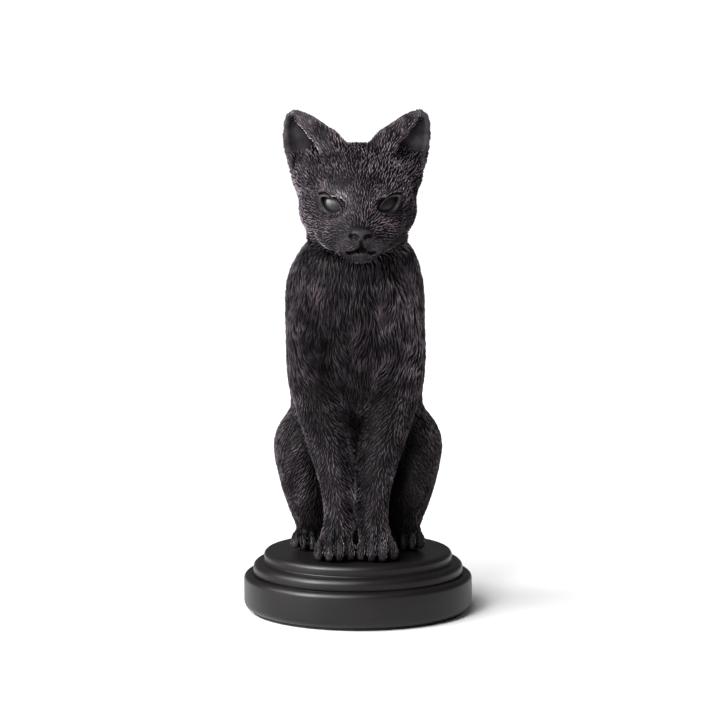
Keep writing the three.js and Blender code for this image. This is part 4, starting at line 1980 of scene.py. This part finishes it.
def on_back(points: np.ndarray, normals: np.ndarray) -> np.ndarray:
    """The coat of the back, nape and flanks.

    Args:
        points: Rows of x, y and z in millimetres.
        normals: The skin's normals there.

    Returns:
        A share from 0 to 1 for each row.
    """
    chest = smooth_step(points[:, 1], 7, 3) * smooth_step(points[:, 2], 99, 103)
    rest = 1 - chest - on_haunches(points, normals) - on_forelegs(points, normals)
    below = smooth_step(above_neck_joint(points), 1.0, 0.0)
    return (rest - is_foot(points)) * below * off_plinth(points)


def on_tail(points: np.ndarray, normals: np.ndarray) -> np.ndarray:
    """The coat of the tail."""
    return off_plinth(points) * smooth_step(normals[:, 2], -0.9, -0.6)


# ---------------------------------------------------------------------------- the plinth


def lathe(
    name: str, outline: Sequence[tuple[float, float]], around: int = 160
) -> bpy.types.Object:
    """A closed ring or disc turned about the upright axis.

    Args:
        name: Name of the piece.
        outline: Closed outline of radius and height, anticlockwise, with poles on the axis.
        around: Number of steps round the axis.

    Returns:
        The turned piece.
    """
    points: list[tuple[float, float, float]] = []
    rings: list[list[int]] = []
    for radius, height in outline:
        if radius < 1e-6:
            rings.append([len(points)] * around)
            points.append((0.0, 0.0, height))
            continue
        rings.append(list(range(len(points), len(points) + around)))
        for angle in (2 * math.pi * k / around for k in range(around)):
            points.append((radius * math.cos(angle), radius * math.sin(angle), height))
    faces = []
    for low, high in zip(rings, rings[1:] + rings[:1]):
        for k in range(around):
            after = (k + 1) % around
            corners = list(dict.fromkeys((low[k], low[after], high[after], high[k])))
            if len(corners) > 2:
                faces.append(corners)
    return to_object(closed_mesh(name, points, faces), name)


def corner(
    radius: float, height: float, size: float, start: float, end: float, steps: int = 8
) -> list[tuple[float, float]]:
    """Points of a round corner about a centre, between two angles in degrees."""
    angles = [math.radians(start + (end - start) * i / steps) for i in range(steps + 1)]
    return [(radius + size * math.cos(a), height + size * math.sin(a)) for a in angles]


@dataclass
class Plinth:
    """The two turned discs under the cat, with the felt and the fixings.

    Attributes:
        drum_radius: Radius of the lower disc.
        drum_low: Height of the lower disc's foot.
        drum_high: Height of the lower disc's top.
        foot_round: Radius of its foot's edge.
        top_round: Radius of its top edge.
        wall: Thickness of its wall and its deck.
        moulding_radius: Radius of the upper disc's foot.
        tier_radius: Radius of the upper disc's top.
        bead: Radius of the bead over its foot.
        bead_rise: Height of the bead's top over the lower disc.
    """

    drum_radius: float = 51.5
    drum_low: float = 1.2
    drum_high: float = 17.2
    foot_round: float = 3.6
    top_round: float = 2.6
    wall: float = 7.0
    moulding_radius: float = 47.3
    tier_radius: float = 40.5
    bead: float = 2.9
    bead_rise: float = 5.3

    def build(self) -> None:
        """Builds the discs and dresses the CAD nodes that stay."""
        for piece, node in ((self.drum(), "plinth_drum"), (self.moulding(), "plinth_moulding")):
            settle(piece, PlinthCeramic().material(), Slot.PLINTH, node)
        for node, finish in self.hidden_finishes().items():
            CAD_NODES[node].data.materials.clear()
            CAD_NODES[node].data.materials.append(finish.material())
            log.info("%s: dressed", node)

    def drum(self) -> bpy.types.Object:
        """The lower disc, an inverted dish with rounded edges.

        Returns:
            The disc.
        """
        radius, low, high = self.drum_radius, self.drum_low, self.drum_high
        foot, top = self.foot_round, self.top_round
        inside, deck = radius - self.wall, high - self.wall
        outline = [(0, deck), (inside - 1, deck), (inside, deck - 1), (inside, low)]
        outline += corner(radius - foot, low + foot, foot, -90, 0)
        outline += corner(radius - top, high - top, top, 0, 90)
        outline += [(self.moulding_radius - 0.4, high), (self.moulding_radius - 1.2, high - 0.5)]
        outline += [(0, high - 0.5)]
        return lathe("drum_disc", outline)

    def moulding(self) -> bpy.types.Object:
        """The upper disc, with a bead over its foot and a soft ogee under its top edge.

        Returns:
            The disc.
        """
        low, high, radius, bead = self.drum_high, PLINTH_TOP, self.moulding_radius, self.bead
        bead_high = low + self.bead_rise
        step = self.tier_radius + 1.6
        outline = [(0, low - 0.2), (radius - 0.7, low - 0.2)]
        outline += corner(radius - 0.5, low + 0.5, 0.5, -70, 0, 4)
        outline += corner(radius - bead, bead_high - bead, bead, 8, 84, 10)
        outline += [(step + 0.9, bead_high + 0.02)]
        outline += corner(step + 0.6, bead_high + 0.55, 0.5, 250, 170, 6)
        ogee = (high - bead_high) * 0.5
        outline += corner(step - 2.1, high - ogee, ogee, 12, 90, 10)
        outline += [(0, high)]
        return lathe("moulding_disc", outline)

    def hidden_finishes(self) -> dict[str, PlainFinish]:
        """The finishes of the felt and of what is inside.

        Returns:
            A finish for each CAD node that is shown as it is.
        """
        steel = PlainFinish("zinc_plated", (0.55, 0.56, 0.57), 0.35, 1.0)
        return {
            "felt_pad": PlainFinish("black_felt", (0.012, 0.012, 0.013), 0.95, 0.0, 2200.0, 0.0003),
            "fixing_plug": PlainFinish("cast_resin", (0.5, 0.42, 0.3), 0.6),
            "threaded_insert": PlainFinish("turned_brass", (0.6, 0.43, 0.19), 0.3, 1.0),
            "fixing_bolt": steel,
            "steel_washer": steel,
            "fibre_washer": PlainFinish("red_fibre", (0.27, 0.07, 0.05), 0.75),
        }


# ---------------------------------------------------------------------------- the studio


def put(name: str, data: bpy.types.ID) -> bpy.types.Object:
    """Puts a mesh, a light or a camera in the scene.

    Args:
        name: The object's name.
        data: What it shows.

    Returns:
        The object.
    """
    made = bpy.data.objects.new(name, data)
    bpy.context.scene.collection.objects.link(made)
    return made


def aim(light: bpy.types.Light, place: Vector, target: Vector) -> bpy.types.Object:
    """Puts a light at a place and points it at a target.

    Args:
        light: The light.
        place: Where it stands.
        target: Where it points.

    Returns:
        The light's object.
    """
    made = put(light.name, light)
    made.location = place
    made.rotation_euler = (target - place).to_track_quat("-Z", "Y").to_euler()
    return made


@dataclass(frozen=True)
class Softbox:
    """A soft panel of light that points at the cat's middle.

    Attributes:
        name: Name of the light.
        place: Where it stands.
        size: Its width and height.
        power: Its power in watts.
        diffuse: Whether it lights what is matt as well as what shines.
    """

    name: str
    place: tuple[float, float, float]
    size: tuple[float, float]
    power: float
    diffuse: bool = True

    def build(self) -> None:
        """Puts the panel in the scene."""
        light = bpy.data.lights.new(self.name, "AREA")
        light.shape = "RECTANGLE"
        light.size, light.size_y = self.size
        light.energy = self.power
        aim(light, Vector(self.place), Vector((0, 0, 0.12))).visible_diffuse = self.diffuse


@dataclass
class Studio:
    """The pale floor, the soft light and the camera.

    Attributes:
        eye: Where the camera stands.
        pitch: How far it looks down, in degrees.
        lens: Its focal length.
        shift: How far its view is shifted across and up.
        half_floor: Half width of the floor.
        surround: Strength of the white surround.
        key: Strength of the key light.
        key_spread: How wide the key light looks, in degrees.
        softboxes: The panels of light.
    """

    eye: tuple[float, float, float] = (0.0, -1.45, 0.303)
    pitch: float = 7.5
    lens: float = 163.1
    shift: tuple[float, float] = (0.0028, 0.0044)
    half_floor: float = 25.0
    surround: float = 0.14
    key: float = 4.4
    key_spread: float = 65
    softboxes: tuple[Softbox, ...] = (
        Softbox("front_softbox", (-0.62, -1.2, 1.0), (0.35, 0.9), 14.0),
        Softbox("glint_softbox", (-1.15, -0.8, 0.8), (0.3, 1.0), 55.0, diffuse=False),
        Softbox("left_softbox", (-1.1, -0.15, 0.6), (0.4, 0.4), 7.0),
    )

    def build(self) -> None:
        """Builds the floor, the light and the camera."""
        self.floor()
        self.lights()
        self.camera()
        bpy.context.scene.view_settings.view_transform = "Standard"

    def floor(self) -> None:
        """A pale floor that runs on past the horizon of the view."""
        half = self.half_floor
        corners = [(-half, -half, 0), (half, -half, 0), (half, half, 0), (-half, half, 0)]
        mesh = bpy.data.meshes.new("floor")
        mesh.from_pydata(corners, [], [(0, 1, 2, 3)])
        shader = Shader("floor_paper")
        shader.feed(Base_Color=(0.93, 0.93, 0.93, 1), Roughness=0.9, Specular_IOR_Level=0.1)
        mesh.materials.append(shader.material)
        put("floor", mesh)

    def lights(self) -> None:
        """A white surround, a broad soft key from the upper left and the panels."""
        world = bpy.data.worlds.new("surround")
        world.use_nodes = True
        background = world.node_tree.nodes["Background"].inputs
        background["Color"].default_value = (1, 1, 1, 1)
        background["Strength"].default_value = self.surround
        bpy.context.scene.world = world
        key = bpy.data.lights.new("key", "SUN")
        key.energy = self.key
        key.angle = math.radians(self.key_spread)
        aim(key, Vector((-0.75, -0.62, 1.0)), Vector((0, 0, 0)))
        for softbox in self.softboxes:
            softbox.build()

    def camera(self) -> None:
        """The camera, a little over the cat's eyes and looking slightly down."""
        lens = bpy.data.cameras.new("camera")
        lens.lens = self.lens
        lens.sensor_width = 36
        lens.shift_x, lens.shift_y = self.shift
        lens.clip_start, lens.clip_end = 0.05, 100
        made = put("camera", lens)
        made.location = self.eye
        made.rotation_euler = (math.radians(90 - self.pitch), 0, 0)
        bpy.context.scene.camera = made


def main() -> None:
    """Builds the figurine and its studio."""
    logging.basicConfig(level=logging.INFO, format="%(name)s: %(message)s")
    Plinth().build()
    Cat().build()
    Studio().build()


if __name__ == "__main__":
    main()
